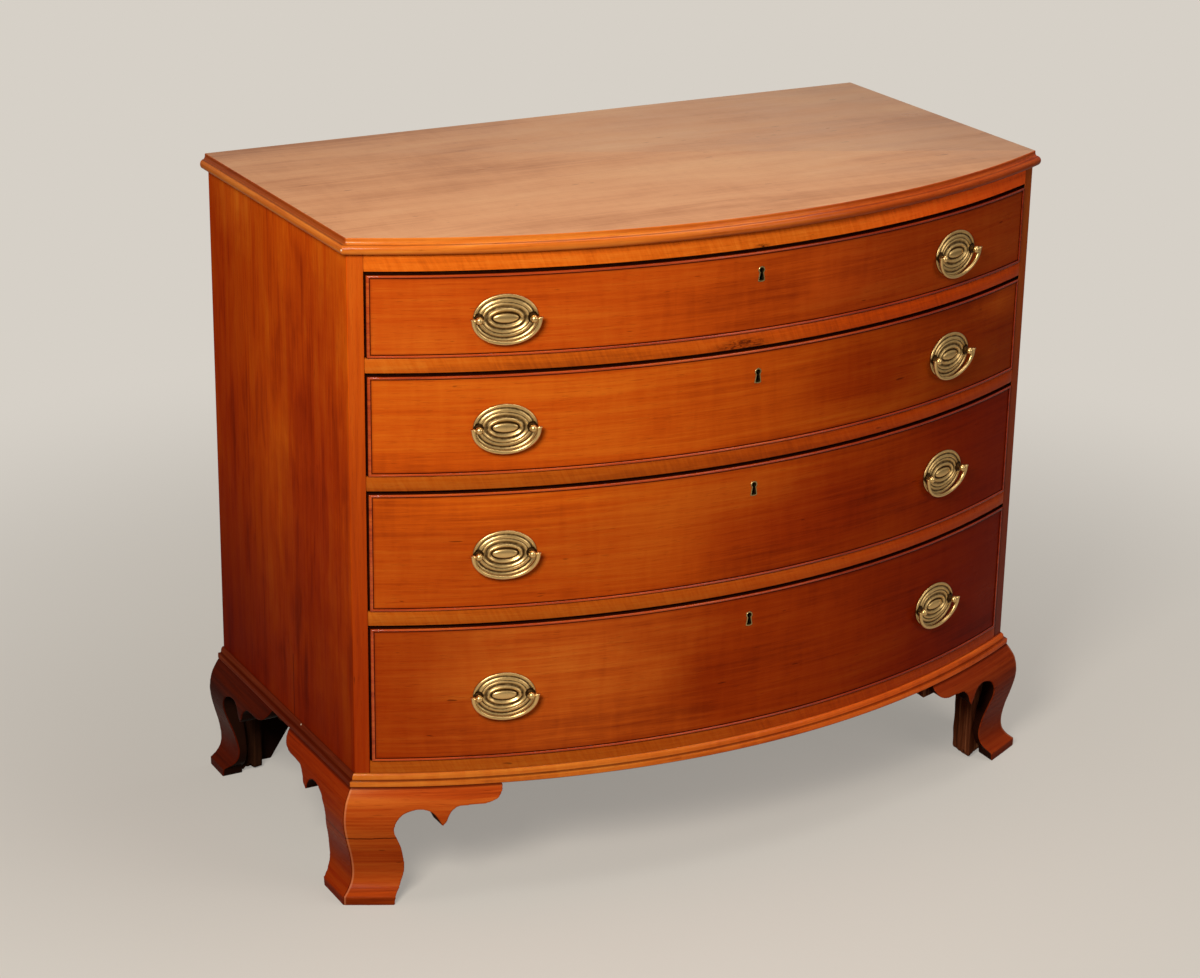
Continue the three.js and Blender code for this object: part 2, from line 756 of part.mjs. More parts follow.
function drawerSide(sizes, side) {
  const xs = [INNER_HALF, FRONT_HALF];
  const board = box(xs, [-TOTAL_DEPTH, DRAWER_REAR_Y], [sizes.sideLow, sizes.sideHigh]);
  const ahead = upright(
    [
      ...bowLine(-FRONT_THICKNESS - GAP, INNER_HALF - OVERRUN, FRONT_HALF + OVERRUN),
      ...vectors([[FRONT_HALF + OVERRUN, -2 * TOTAL_DEPTH], [INNER_HALF - OVERRUN, -2 * TOTAL_DEPTH]]),
    ],
    -OVERRUN,
    sizes.sideHigh + OVERRUN,
  );
  const tailed = join(cut(board, ahead), ...tails(sizes, 0));
  const shape = cut(tailed, drawerBottom(sizes, GAP), ...pins(sizes, GAP));
  return side < 0 ? shape.mirror([1, 0, 0]) : shape;
}

function drawerBack(sizes) {
  const half = INNER_HALF - GAP;
  const board = box(
    [-half, half],
    [DRAWER_REAR_Y - BOARD_THICKNESS, DRAWER_REAR_Y],
    [sizes.backLow, sizes.backHigh],
  );
  const right = pins(sizes, 0);
  return join(board, ...right, ...right.map((pin) => pin.mirror([1, 0, 0])));
}

// The bowed front with its cockbead: the long beads are in the section, the short ones added
function beadedFront({ frontLow, frontHigh }) {
  const section = [
    [-FRONT_THICKNESS, frontLow],
    [BEAD_STAND, frontLow],
    [BEAD_STAND, frontLow + BEAD_WIDTH],
    [0, frontLow + BEAD_WIDTH],
    [0, frontHigh - BEAD_WIDTH],
    [BEAD_STAND, frontHigh - BEAD_WIDTH],
    [BEAD_STAND, frontHigh],
    [-FRONT_THICKNESS, frontHigh],
  ];
  const body = alongBow(section, () => -FRONT_HALF, () => FRONT_HALF);
  const bead = (x, stand) => [x, bowY(stand, x)];
  const inside = FRONT_HALF - BEAD_WIDTH;
  const plan = vectors([
    bead(inside, -BEAD_STAND),
    bead(inside, BEAD_STAND),
    bead(FRONT_HALF, BEAD_STAND),
    bead(FRONT_HALF, -BEAD_STAND),
  ]);
  const upend = upright(plan, frontLow, frontHigh);
  return join(body, upend, upend.mirror([1, 0, 0]));
}

function drawerFront(sizes, keyholeZ) {
  const right = tails(sizes, GAP);
  const holes = [-1, 1].flatMap((side) => [-1, 1].map((end) => boltHole(side, end, sizes.pullZ)));
  return cut(
    beadedFront(sizes),
    drawerBottom(sizes, GAP),
    ...right,
    ...right.map((tail) => tail.mirror([1, 0, 0])),
    ...holes,
    ...lockSolids(sizes, keyholeZ, GAP),
  );
}

// Pulls. In a pull's own frame X runs along the bow, Y is up and Z points out of the front.
function pullMatrix(side, z) {
  const angle = side * Math.asin(PULL_PLACE / BOW_RADIUS);
  const along = new THREE.Vector3(Math.cos(angle), Math.sin(angle), 0);
  const out = new THREE.Vector3(Math.sin(angle), -Math.cos(angle), 0);
  const seat = new THREE.Vector3(0, BOW_CENTRE_Y, z).addScaledVector(out, BOW_RADIUS);
  return new THREE.Matrix4().makeBasis(along, new THREE.Vector3(0, 0, 1), out).setPosition(seat);
}

function boltHole(side, end, z) {
  const hole = cylinder(BOLT_RADIUS + GAP, -2 * FRONT_THICKNESS, FRONT_THICKNESS);
  hole.translate((end * POST_SPACING) / 2, 0, 0);
  return solid(hole.applyMatrix4(pullMatrix(side, z)));
}

// The back of a nut, clear of the hollow inner face of the front
function nutSeat() {
  const reach = POST_SPACING / 2 + NUT_RADIUS;
  return -FRONT_THICKNESS - reach ** 2 / (2 * (BOW_RADIUS - FRONT_THICKNESS)) - FLAT_SAG - GAP;
}

function ovalRing(inset, height) {
  return Array.from({ length: PLATE_SIDES }, (_, i) => {
    const angle = (2 * Math.PI * i) / PLATE_SIDES;
    return [
      (PLATE_WIDTH / 2 - inset) * Math.cos(angle),
      (PLATE_HEIGHT / 2 - inset) * Math.sin(angle),
      GAP + height,
    ];
  });
}

function plateDish() {
  const rings = [ovalRing(0, 0), ...PLATE_RINGS.map(({ inset, height }) => ovalRing(inset, height))];
  const dish = loft(rings, vectors(rings[0]));
  const last = PLATE_RINGS.at(-1);
  const hollow = new THREE.ConeGeometry(1, last.height - PLATE_CENTRE_HEIGHT, PLATE_SIDES);
  hollow.rotateX(-Math.PI / 2);
  hollow.scale(PLATE_WIDTH / 2 - last.inset, PLATE_HEIGHT / 2 - last.inset, 1);
  hollow.translate(0, 0, GAP + (last.height + PLATE_CENTRE_HEIGHT) / 2);
  return cut(dish, solid(hollow));
}

// A post with its bolt through the drawer front and its nut
function post(end) {
  const seat = nutSeat();
  const profile = vectors([
    [0, seat - NUT_HEIGHT],
    [NUT_RADIUS, seat - NUT_HEIGHT],
    [NUT_RADIUS, seat],
    [BOLT_RADIUS, seat],
    [BOLT_RADIUS, GAP],
    [POST_RADIUS, GAP],
    [POST_RADIUS, POST_HEIGHT - POST_CROWN],
    [POST_RADIUS / 2, POST_HEIGHT],
    [0, POST_HEIGHT],
  ]);
  const geometry = new THREE.LatheGeometry(profile, ROUND_SIDES);
  geometry.rotateX(Math.PI / 2);
  geometry.translate((end * POST_SPACING) / 2, 0, 0);
  return solid(geometry);
}

function pullPlate() {
  const half = POST_SPACING / 2 + POST_RADIUS + OVERRUN;
  const hole = cylinder(PIN_RADIUS + PIN_CLEARANCE, -half, half);
  hole.rotateY(Math.PI / 2);
  hole.translate(0, 0, PIVOT_HEIGHT);
  return cut(join(plateDish(), post(-1), post(1)), solid(hole));
}

// The bail: half an oval that hangs from two pins, thickest at the bottom
function bail() {
  const wide = BAIL_WIDTH / 2 - BAIL_TIP_RADIUS;
  const drop = BAIL_DROP - BAIL_RADIUS;
  const rings = Array.from({ length: BAIL_STEPS + 1 }, (_, step) => {
    const angle = (Math.PI * step) / BAIL_STEPS;
    const middle = new THREE.Vector3(wide * Math.cos(angle), -drop * Math.sin(angle), 0);
    const normal = new THREE.Vector3(Math.cos(angle) / wide, -Math.sin(angle) / drop, 0).normalize();
    const radius = BAIL_TIP_RADIUS + (BAIL_RADIUS - BAIL_TIP_RADIUS) * Math.sin(angle);
    return Array.from({ length: ROUND_SIDES }, (__, i) => {
      const turn = (2 * Math.PI * (i + 0.5)) / ROUND_SIDES;
      const point = middle.clone().addScaledVector(normal, radius * Math.cos(turn));
      return [point.x, point.y, PIVOT_HEIGHT + radius * Math.sin(turn)];
    });
  });
  const round = rings[0].map((_, i) => {
    const turn = (2 * Math.PI * (i + 0.5)) / ROUND_SIDES;
    return [Math.cos(turn), Math.sin(turn)];
  });
  const inner = POST_SPACING / 2 - POST_RADIUS - PIN_OVERHANG;
  const ends = [-1, 1].map((end) => {
    const pin = cylinder(PIN_RADIUS, inner, wide);
    pin.rotateY((end * Math.PI) / 2);
    pin.translate(0, 0, PIVOT_HEIGHT);
    return solid(pin);
  });
  return join(loft(rings, vectors(round)), ...ends);
}

// Locks, set into the middle of each front from behind and from above
function keyholeOutline(wall) {
  const radius = KEYHOLE_RADIUS - wall;
  const waist = KEYHOLE_RADIUS * KEYHOLE_WAIST_SHARE - wall;
  const foot = KEYHOLE_RADIUS * KEYHOLE_FOOT_SHARE - wall;
  const roundZ = KEYHOLE_HEIGHT / 2 - KEYHOLE_RADIUS;
  const lowZ = wall - KEYHOLE_HEIGHT / 2;
  const start = Math.asin(waist / radius);
  const arc = new THREE.EllipseCurve(0, roundZ, radius, radius, start - Math.PI / 2, 1.5 * Math.PI - start);
  return [...arc.getPoints(ROUND_SIDES), new THREE.Vector2(-foot, lowZ), new THREE.Vector2(foot, lowZ)];
}

function lockSolids(sizes, keyholeZ, grow) {
  const innerY = bowY(-FRONT_THICKNESS, 0);
  const halfWide = LOCK_WIDTH / 2 + grow;
  const backY = innerY + LOCK_PLATE + (grow ? OVERRUN : 0);
  const frontY = innerY - LOCK_DEPTH - grow;
  const neck = sizes.frontHigh - SELVAGE_THICKNESS;
  const body = box([-halfWide, halfWide], [frontY, backY], [keyholeZ - LOCK_TAIL - grow, neck]);
  const selvageHigh = sizes.frontHigh + (grow ? OVERRUN : 0);
  const selvage = box([-halfWide, halfWide], [frontY, backY], [neck - grow, selvageHigh]);
  const outline = keyholeOutline(-grow).map((point) => point.setY(point.y + keyholeZ));
  const faceY = bowY(0, 0) + KEYHOLE_RADIUS ** 2 / BOW_RADIUS + GAP;
  const lining = alongY(outline, grow ? faceY - OVERRUN : faceY, innerY);
  return [body, selvage, lining];
}

function lock(sizes, keyholeZ) {
  const outline = keyholeOutline(KEYHOLE_WALL).map((point) => point.setY(point.y + keyholeZ));
  const faceY = bowY(0, 0);
  const hole = alongY(outline, faceY - OVERRUN, faceY + KEYHOLE_DEPTH);
  return cut(join(...lockSolids(sizes, keyholeZ, 0)), hole);
}

// Assembly
function addCase() {
  place(chest, "top_board", topBoard(), topWood);
  place(chest, "left_side", caseSide(-1), sideWood);
  place(chest, "right_side", caseSide(1), sideWood);
  place(chest, "back_panel", backPanel(), innerWood);
  place(chest, "top_rail", rail(openings[0].high, TOP_UNDERSIDE - GAP, false), railWood);
  openings.slice(0, -1).forEach((opening, i) => {
    const low = opening.low - DIVIDER_HEIGHT;
    place(chest, `divider_rail_${i + 1}`, rail(low, opening.low, true), railWood);
    place(chest, `dust_board_${i + 1}`, dustBoard(opening.low), innerWood);
  });
  const floor = openings.at(-1).low;
  place(chest, "bottom_rail", rail(FOOT_HEIGHT, floor, true), railWood);
  place(chest, "case_bottom", dustBoard(floor), innerWood);
  place(chest, "base_moulding_front", frontMoulding(), mouldingWood);
  place(chest, "base_moulding_left", sideMoulding(-1), mouldingWood);
  place(chest, "base_moulding_right", sideMoulding(1), mouldingWood);
  place(chest, "foot_front_left", frontFoot(-1), footWood);
  place(chest, "foot_front_right", frontFoot(1), footWood);
  place(chest, "foot_rear_left", rearFoot(-1), footWood);
  place(chest, "foot_rear_right", rearFoot(1), footWood);
}

function addPull(drawer, name, side, sizes) {
  const pull = new THREE.Group();
  pullMatrix(side, sizes.pullZ).decompose(pull.position, pull.quaternion, pull.scale);
  const word = side < 0 ? "left" : "right";
  place(pull, `${name}_pull_plate_${word}`, pullPlate(), brass);
  place(pull, `${name}_bail_${word}`, bail(), brass);
  drawer.add(pull);
}

function addDrawer(opening, i) {
  const drawer = new THREE.Group();
  drawer.position.z = opening.low;
  const name = `drawer_${i + 1}`;
  const sizes = drawerSizes(opening);
  const keyholeZ = sizes.frontHigh - KEYHOLE_DROPS[i];
  place(drawer, `${name}_front`, drawerFront(sizes, keyholeZ), frontWood);
  place(drawer, `${name}_left_side`, drawerSide(sizes, -1), innerWood);
  place(drawer, `${name}_right_side`, drawerSide(sizes, 1), innerWood);
  place(drawer, `${name}_back`, drawerBack(sizes), innerWood);
  place(drawer, `${name}_bottom`, drawerBottom(sizes), innerWood);
  place(drawer, `${name}_lock`, lock(sizes, keyholeZ), lockMetal);
  addPull(drawer, name, -1, sizes);
  addPull(drawer, name, 1, sizes);
  chest.add(drawer);
}

addCase();
openings.forEach(addDrawer);

export default chest;
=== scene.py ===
"""A bow front chest of drawers in old cherry, dressed over its solid frame.

Lengths are in metres. The front faces -Y, and the floor is at Z = 0.
"""
import json
import random
from math import asin, cos, degrees, hypot, pi, radians, sin, sqrt

import bmesh
import bpy
from mathutils import Matrix, Vector, noise


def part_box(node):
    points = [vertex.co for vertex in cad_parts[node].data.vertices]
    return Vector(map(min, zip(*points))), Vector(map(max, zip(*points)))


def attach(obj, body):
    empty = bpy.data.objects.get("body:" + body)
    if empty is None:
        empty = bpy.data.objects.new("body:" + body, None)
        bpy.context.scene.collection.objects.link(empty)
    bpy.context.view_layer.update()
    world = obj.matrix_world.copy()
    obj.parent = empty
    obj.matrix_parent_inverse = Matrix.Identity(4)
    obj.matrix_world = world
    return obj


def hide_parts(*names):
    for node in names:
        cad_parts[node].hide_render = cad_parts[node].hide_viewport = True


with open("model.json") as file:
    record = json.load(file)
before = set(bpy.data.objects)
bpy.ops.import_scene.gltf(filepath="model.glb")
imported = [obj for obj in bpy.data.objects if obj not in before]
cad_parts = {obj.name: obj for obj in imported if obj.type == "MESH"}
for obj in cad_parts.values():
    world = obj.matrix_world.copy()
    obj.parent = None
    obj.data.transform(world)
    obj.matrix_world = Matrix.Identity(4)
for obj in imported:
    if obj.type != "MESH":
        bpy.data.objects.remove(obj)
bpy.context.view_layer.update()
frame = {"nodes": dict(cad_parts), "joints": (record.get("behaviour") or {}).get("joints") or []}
random.seed(7)


def heights(node):
    """The Z of a frame node's underside and of its top."""
    return [corner.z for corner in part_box(node)]


# The case and its bow
CASE_HALF = 0.4775
SIDE_DEPTH = 0.425
BOW_RISE = 0.117
SEAM = 0.0003
BACK_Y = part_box("back_panel")[1].y
CORNER_Y = BACK_Y - SIDE_DEPTH
BOW_RADIUS = (CASE_HALF**2 + BOW_RISE**2) / (2 * BOW_RISE)
BOW_CENTRE_Y = CORNER_Y - BOW_RISE + BOW_RADIUS
OPENING_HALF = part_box("right_side")[0].x
TOP_LOW, TOP_HIGH = heights("top_board")
TOP_BACK_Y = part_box("top_board")[1].y
BASE_LOW, BASE_HIGH = heights("base_moulding_front")
BOW_STEPS = 72

# Drawers
FRONT_THICKNESS = 0.022
FRONT_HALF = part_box("drawer_1_front")[1].x
BEAD_WIDTH = 0.0032
BEAD_STAND = 0.0018
BEAD_DEPTH = 0.008
TOP_GAP = 0.0014
DRAWERS = (1, 2, 3, 4)
SIDES = {"left": -1, "right": 1}

# Feet
OGEE_REACH = 0.0215
BRACKET_INSET = 0.004
FRONT_LEG = 0.056
SIDE_LEG = 0.064
BRACKET_REACH = 0.12
REAR_BOARD = 0.02
REAR_BOARD_TOP = 0.152
REAR_BOARD_FOOT = 0.0515
FRONT_BLOCK = 0.055
FRONT_BLOCK_BACK = 0.016
REAR_BLOCK = (0.03, 0.0245)
BLOCK_LIFT = 0.002
STRIP = 0.02
STRIP_LENGTH = 0.165
FOOT_VOXEL = 0.001
BLOCK_VOXEL = 0.0022
LEFT_BLOCK_ENDS = {("foot_front", 1): FRONT_BLOCK - 0.016, ("foot_front", 3): STRIP_LENGTH - 0.014}

# Pulls
PULL_PLACE = 0.313
PULL_SLIDES = {"left": 0.0026, "right": 0.0009}
PLATE_HALF = (0.03825, 0.02875)
POST_SPACING = 0.0635
PIVOT_OUT = 0.0095
BAIL_HALF = 0.0428
BAIL_DROP = 0.0322
BAIL_BEND = 0.0034
PLATE_STEPS = 112
BAIL_STEPS = 56
NUT_HALF = 0.0052 / sqrt(2)
MM = 0.001

# How near points are welded, and the radius that stands for a point
WELD = 1e-6
POINT = 1e-5

# Angles in degrees between faces: smooth shading reaches up to the first, and arrises start at the second
SMOOTH_ANGLE = 35
ARRIS_ANGLE = 40


def bow_y(out, x):
    """The bow's Y at x, a distance out from the case's front."""
    return BOW_CENTRE_Y - sqrt((BOW_RADIUS + out) ** 2 - x * x)


def bow_line(out, x0, x1, steps=BOW_STEPS):
    """Points along the bow from x0 to x1, at equal angles."""
    radius = BOW_RADIUS + out
    turns = [lerp(asin(x0 / radius), asin(x1 / radius), i / steps) for i in range(steps + 1)]
    return [(radius * sin(t), BOW_CENTRE_Y - radius * cos(t)) for t in turns]


def lerp(a, b, t):
    return a + (b - a) * t


def clamp(value, low=0, high=1):
    return min(max(value, low), high)


def arc(cx, cy, rx, ry, start, end, steps):
    """Points on part of an ellipse, with the angles in degrees."""
    turns = [radians(lerp(start, end, i / steps)) for i in range(steps + 1)]
    return [(cx + rx * cos(t), cy + ry * sin(t)) for t in turns]


def oval(wide, tall, z, count):
    """Points round an ellipse, at a height."""
    return [(*point, z) for point in arc(0, 0, wide, tall, 0, 360 - 360 / count, count - 1)]


def oblong(x0, y0, x1, y1):
    return [(x0, y0), (x1, y0), (x1, y1), (x0, y1)]


def through(points, steps, sharp=()):
    """A smooth line through points, broken at the ones whose places are in sharp."""
    line = []
    breaks = sorted({0, len(points) - 1, *sharp})
    for first, last in zip(breaks, breaks[1:]):
        part = [Vector(p) for p in points[first:last + 1]]
        ghost = [2 * part[0] - part[1], *part, 2 * part[-1] - part[-2]]
        for a, b, c, d in zip(ghost, ghost[1:], ghost[2:], ghost[3:]):
            for i in range(steps):
                t = i / steps
                spline = 2 * b + (c - a) * t + (2 * a - 5 * b + 4 * c - d) * t**2 + (3 * b - a - 3 * c + d) * t**3
                line.append(tuple(spline / 2))
    return [*line, tuple(points[-1])]


# Meshes
def placed(name, data):
    """A new object in the scene."""
    made = bpy.data.objects.new(name, data)
    bpy.context.scene.collection.objects.link(made)
    return made


def piece(name, vertices, faces, smooth_angle=SMOOTH_ANGLE, bevel=0, segments=2):
    """A mesh object with its faces pointing out, shaded smooth up to an angle."""
    mesh = bpy.data.meshes.new(name)
    mesh.from_pydata([tuple(v) for v in vertices], [], faces)
    made = placed(name, mesh)
    tidy(made, smooth_angle)
    if bevel:
        modifier = made.modifiers.new("arris", "BEVEL")
        modifier.width = bevel
        modifier.segments = segments
        modifier.limit_method = "ANGLE"
        modifier.angle_limit = radians(ARRIS_ANGLE)
    return made


def tidy(made, smooth_angle=SMOOTH_ANGLE):
    """Welds a mesh, turns its faces out and shades it smooth up to an angle."""
    work = bmesh.new()
    work.from_mesh(made.data)
    bmesh.ops.remove_doubles(work, verts=work.verts, dist=WELD)
    bmesh.ops.recalc_face_normals(work, faces=work.faces)
    work.to_mesh(made.data)
    work.free()
    made.data.shade_smooth()
    made.data.set_sharp_from_angle(angle=radians(smooth_angle))


def loft(name, rings, closed=False, **looks):
    """Rings of equal counts joined side by side. The ends are closed over, or the last joins the first."""
    count, total = len(rings[0]), len(rings)
    faces = []
    for ring in range(total if closed else total - 1):
        here, after = ring * count, (ring + 1) % total * count
        for i in range(count):
            j = (i + 1) % count
            faces.append((here + i, here + j, after + j, after + i))
    if not closed:
        faces += [tuple(reversed(range(count))), tuple(range((total - 1) * count, total * count))]
    return piece(name, [v for ring in rings for v in ring], faces, **looks)


PLACES = {"X": lambda p, h: (h, *p), "Y": lambda p, h: (p[0], h, p[1]), "Z": lambda p, h: (*p, h)}


def prism(name, outline, low, high, axis="Z", **looks):
    """A closed outline stretched along an axis: (x, y) on Z, (y, z) on X and (x, z) on Y."""
    return loft(name, [[PLACES[axis](p, h) for p in outline] for h in (low, high)], **looks)


def slab(name, corner, opposite, **looks):
    """A box between two corners."""
    (x0, y0, z0), (x1, y1, z1) = corner, opposite
    return prism(name, oblong(x0, y0, x1, y1), z0, z1, **looks)


def along_bow(name, section, start, end, steps=BOW_STEPS, mitre=0, **looks):
    """A closed section of (out, z) points carried along the bow. With a mitre of 1 the ends follow out."""
    lines = [bow_line(out, start - mitre * out, end + mitre * out, steps) for out, _ in section]
    rings = [[(*line[i], z) for line, (_, z) in zip(lines, section)] for i in range(steps + 1)]
    return loft(name, rings, **looks)


def lathe(name, profile, steps):
    """A profile of (radius, z) points turned about Z."""
    return loft(name, [oval(max(r, POINT), max(r, POINT), z, steps) for r, z in profile], smooth_angle=50)


def boolean(made, other, operation="DIFFERENCE"):
    """Cuts, joins or intersects two solids, in place."""
    modifier = made.modifiers.new("boolean", "BOOLEAN")
    modifier.object = other
    modifier.operation = operation
    modifier.solver = "EXACT"
    settle(made)
    bpy.data.objects.remove(other)
    return made


def settle(made):
    """Applies a piece's modifiers."""
    bpy.context.view_layer.update()
    done = bpy.data.meshes.new_from_object(made.evaluated_get(bpy.context.evaluated_depsgraph_get()))
    made.modifiers.clear()
    made.data = done
    return made


def remesh(made, size, rounds=0):
    """Gives a piece an even mesh, smoothed a number of times."""
    even = made.modifiers.new("even", "REMESH")
    even.mode = "VOXEL"
    even.voxel_size = size
    if rounds:
        soft = made.modifiers.new("soft", "SMOOTH")
        soft.factor = 0.5
        soft.iterations = rounds
    settle(made)
    made.data.shade_smooth()
    return made


def join(made, others):
    """Adds the meshes of other pieces to one piece, without a cut."""
    work = bmesh.new()
    work.from_mesh(made.data)
    for other in others:
        if other.modifiers:
            settle(other)
        work.from_mesh(other.data)
        bpy.data.objects.remove(other)
    work.to_mesh(made.data)
    work.free()


def solid_copy(node):
    """A welded copy of a frame node, for use as a cutter."""
    source = frame["nodes"][node].data
    faces = [tuple(p.vertices) for p in source.polygons]
    return piece(f"cutter_{node}", [v.co for v in source.vertices], faces)


def mirrored(made, name):
    """The same piece on the other side of the chest."""
    twin = placed(name, made.data.copy())
    twin.data.transform(Matrix.Scale(-1, 4, (1, 0, 0)))
    twin.data.flip_normals()
    return twin


def keep(made, name, amount):
    """Keeps a number for each point of a mesh, such as how bright its brass shows from use and from painted light
    and shade, from 0 to 1.
    """
    attribute = made.data.attributes.new(name, "FLOAT", "POINT")
    attribute.data.foreach_set("value", [amount(v.co) for v in made.data.vertices])


def paint(made, materials):
    """Gives a piece its materials."""
    made.data.materials.clear()
    for material in materials if isinstance(materials, list) else [materials]:
        made.data.materials.append(material)


def dress(made, materials, body, slot, *replaced):
    """Gives a piece its materials and its body, and lets it stand for frame nodes. The slot is not used."""
    paint(made, materials)
    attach(made, body)
    if replaced:
        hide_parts(*replaced)


# Material nodes
class Value:
    """A number that the nodes of a material make, for the usual signs to work on."""

    def __init__(self, nodes, socket):
        self.nodes, self.socket = nodes, socket

    def __add__(self, other):
        return self.nodes.math("ADD", self, other)

    def __sub__(self, other):
        return self.nodes.math("SUBTRACT", self, other)

    def __rsub__(self, other):
        return self.nodes.math("SUBTRACT", other, self)

    def __mul__(self, other):
        return self.nodes.math("MULTIPLY", self, other)

    def __abs__(self):
        return self.nodes.math("ABSOLUTE", self)


class Nodes:
    """Short names for the nodes of one material or world."""

    def __init__(self, name, kind=bpy.data.materials):
        self.owner = kind.new(name)
        self.owner.use_nodes = True
        self.tree = self.owner.node_tree
        self.shader = self.tree.nodes.get("Principled BSDF")

    def add(self, kind, inputs=(), **settings):
        node = self.tree.nodes.new(f"ShaderNode{kind}")
        for key, value in settings.items():
            setattr(node, key, value)
        for key, value in dict(inputs).items():
            self.put(value, node.inputs[key])
        return node

    def put(self, value, socket):
        value = getattr(value, "socket", value)
        if isinstance(value, bpy.types.NodeSocket):
            self.tree.links.new(value, socket)
        else:
            socket.default_value = value

    def value(self, output, kind, inputs=(), **settings):
        """A number that comes out of a new node."""
        return Value(self, self.add(kind, inputs, **settings).outputs[output])

    def where(self):
        """The piece's own place."""
        return self.add("TexCoord").outputs["Object"]

    def place(self, scale, shift=(0, 0, 0), turn=(0, 0, 0)):
        """The piece's own place, moved, turned and stretched."""
        turned = [radians(a) for a in turn]
        moved = self.add("Mapping", {"Vector": self.where(), "Location": shift, "Rotation": turned})
        scale = scale if isinstance(scale, tuple) else (scale,) * 3
        return self.add("Mapping", {"Vector": moved.outputs[0], "Scale": scale}).outputs[0]

    def axes(self):
        return [Value(self, axis) for axis in self.add("SeparateXYZ", {0: self.where()}).outputs]

    def vector(self, operation, *values):
        return self.add("VectorMath", dict(enumerate(values)), operation=operation).outputs[0]

    def length(self, vector):
        return self.value("Value", "VectorMath", {0: vector}, operation="LENGTH")

    def away(self, place, reach=(1, 1, 1)):
        """How far the piece's own place lies from another, in reaches. A reach of nought leaves that axis out."""
        shares = [1 / part if part else 0 for part in reach]
        return self.length(self.vector("MULTIPLY", self.vector("SUBTRACT", self.where(), place), shares))

    def noise(self, scale, detail=3.0, rough=0.55, distort=0.0, shift=(0, 0, 0), turn=(0, 0, 0)):
        inputs = {"Vector": self.place(scale, shift, turn), "Scale": 1.0, "Detail": detail, "Roughness": rough,
                  "Distortion": distort}
        return self.value("Fac", "TexNoise", inputs)

    def math(self, operation, *values):
        return self.value(0, "Math", dict(enumerate(values)), operation=operation)

    def span(self, value, low, high, to_low=0.0, to_high=1.0):
        """A number carried smoothly from one range to another."""
        inputs = {"Value": value, "From Min": low, "From Max": high, "To Min": to_low, "To Max": to_high}
        return self.value("Result", "MapRange", inputs, interpolation_type="SMOOTHSTEP")

    def mix(self, factor, a, b, blend="MIX"):
        node = self.add("Mix", data_type="RGBA", blend_type=blend)
        for value, socket in zip((factor, a, b), (node.inputs[0], node.inputs[6], node.inputs[7])):
            self.put(value, socket)
        return node.outputs[2]

    def fade(self, color, *changes):
        """A colour turned into others in turn, each to a depth as a number goes from a start to an end."""
        for other, value, start, end, depth in changes:
            color = self.mix(self.span(value, start, end, 0.0, depth), color, other)
        return color

    def ramp(self, value, stops):
        node = self.add("ValToRGB", {"Fac": value})
        elements = node.color_ramp.elements
        while len(elements) < len(stops):
            elements.new(0.5)
        for element, (place, color) in zip(elements, stops):
            element.position = place
            element.color = color
        return node.outputs["Color"]

    def bump(self, height, distance):
        inputs = {"Height": height, "Distance": distance, "Strength": 1.0}
        return self.add("Bump", inputs).outputs["Normal"]

    def shade(self, color, roughness, normal=None, **fixed):
        self.put(color, self.shader.inputs["Base Color"])
        self.put(roughness, self.shader.inputs["Roughness"])
        if normal:
            self.put(normal, self.shader.inputs["Normal"])
        for key, value in fixed.items():
            self.shader.inputs[key.replace("_", " ").title().replace("Ior", "IOR")].default_value = value
        return self.owner


def rgb(red, green, blue):
    """A colour as it looks on a screen, from 0 to 255, turned into light."""
    parts = (c / 255 for c in (red, green, blue))
    return (*(c / 12.92 if c <= 0.04045 else ((c + 0.055) / 1.055) ** 2.4 for c in parts), 1.0)


def tinted(color, shares):
    """A colour times one share, or times one each for its red, green and blue."""
    shares = shares if isinstance(shares, tuple) else (shares,) * 3
    return (*(c * share for c, share in zip(color, shares)), 1.0)


def shaded(tones, shares):
    return [tinted(tone, shares) for tone in tones]


GRAINS = {"X": (0, 0, 0), "Y": (0, 0, 90), "Z": (0, 90, 0)}


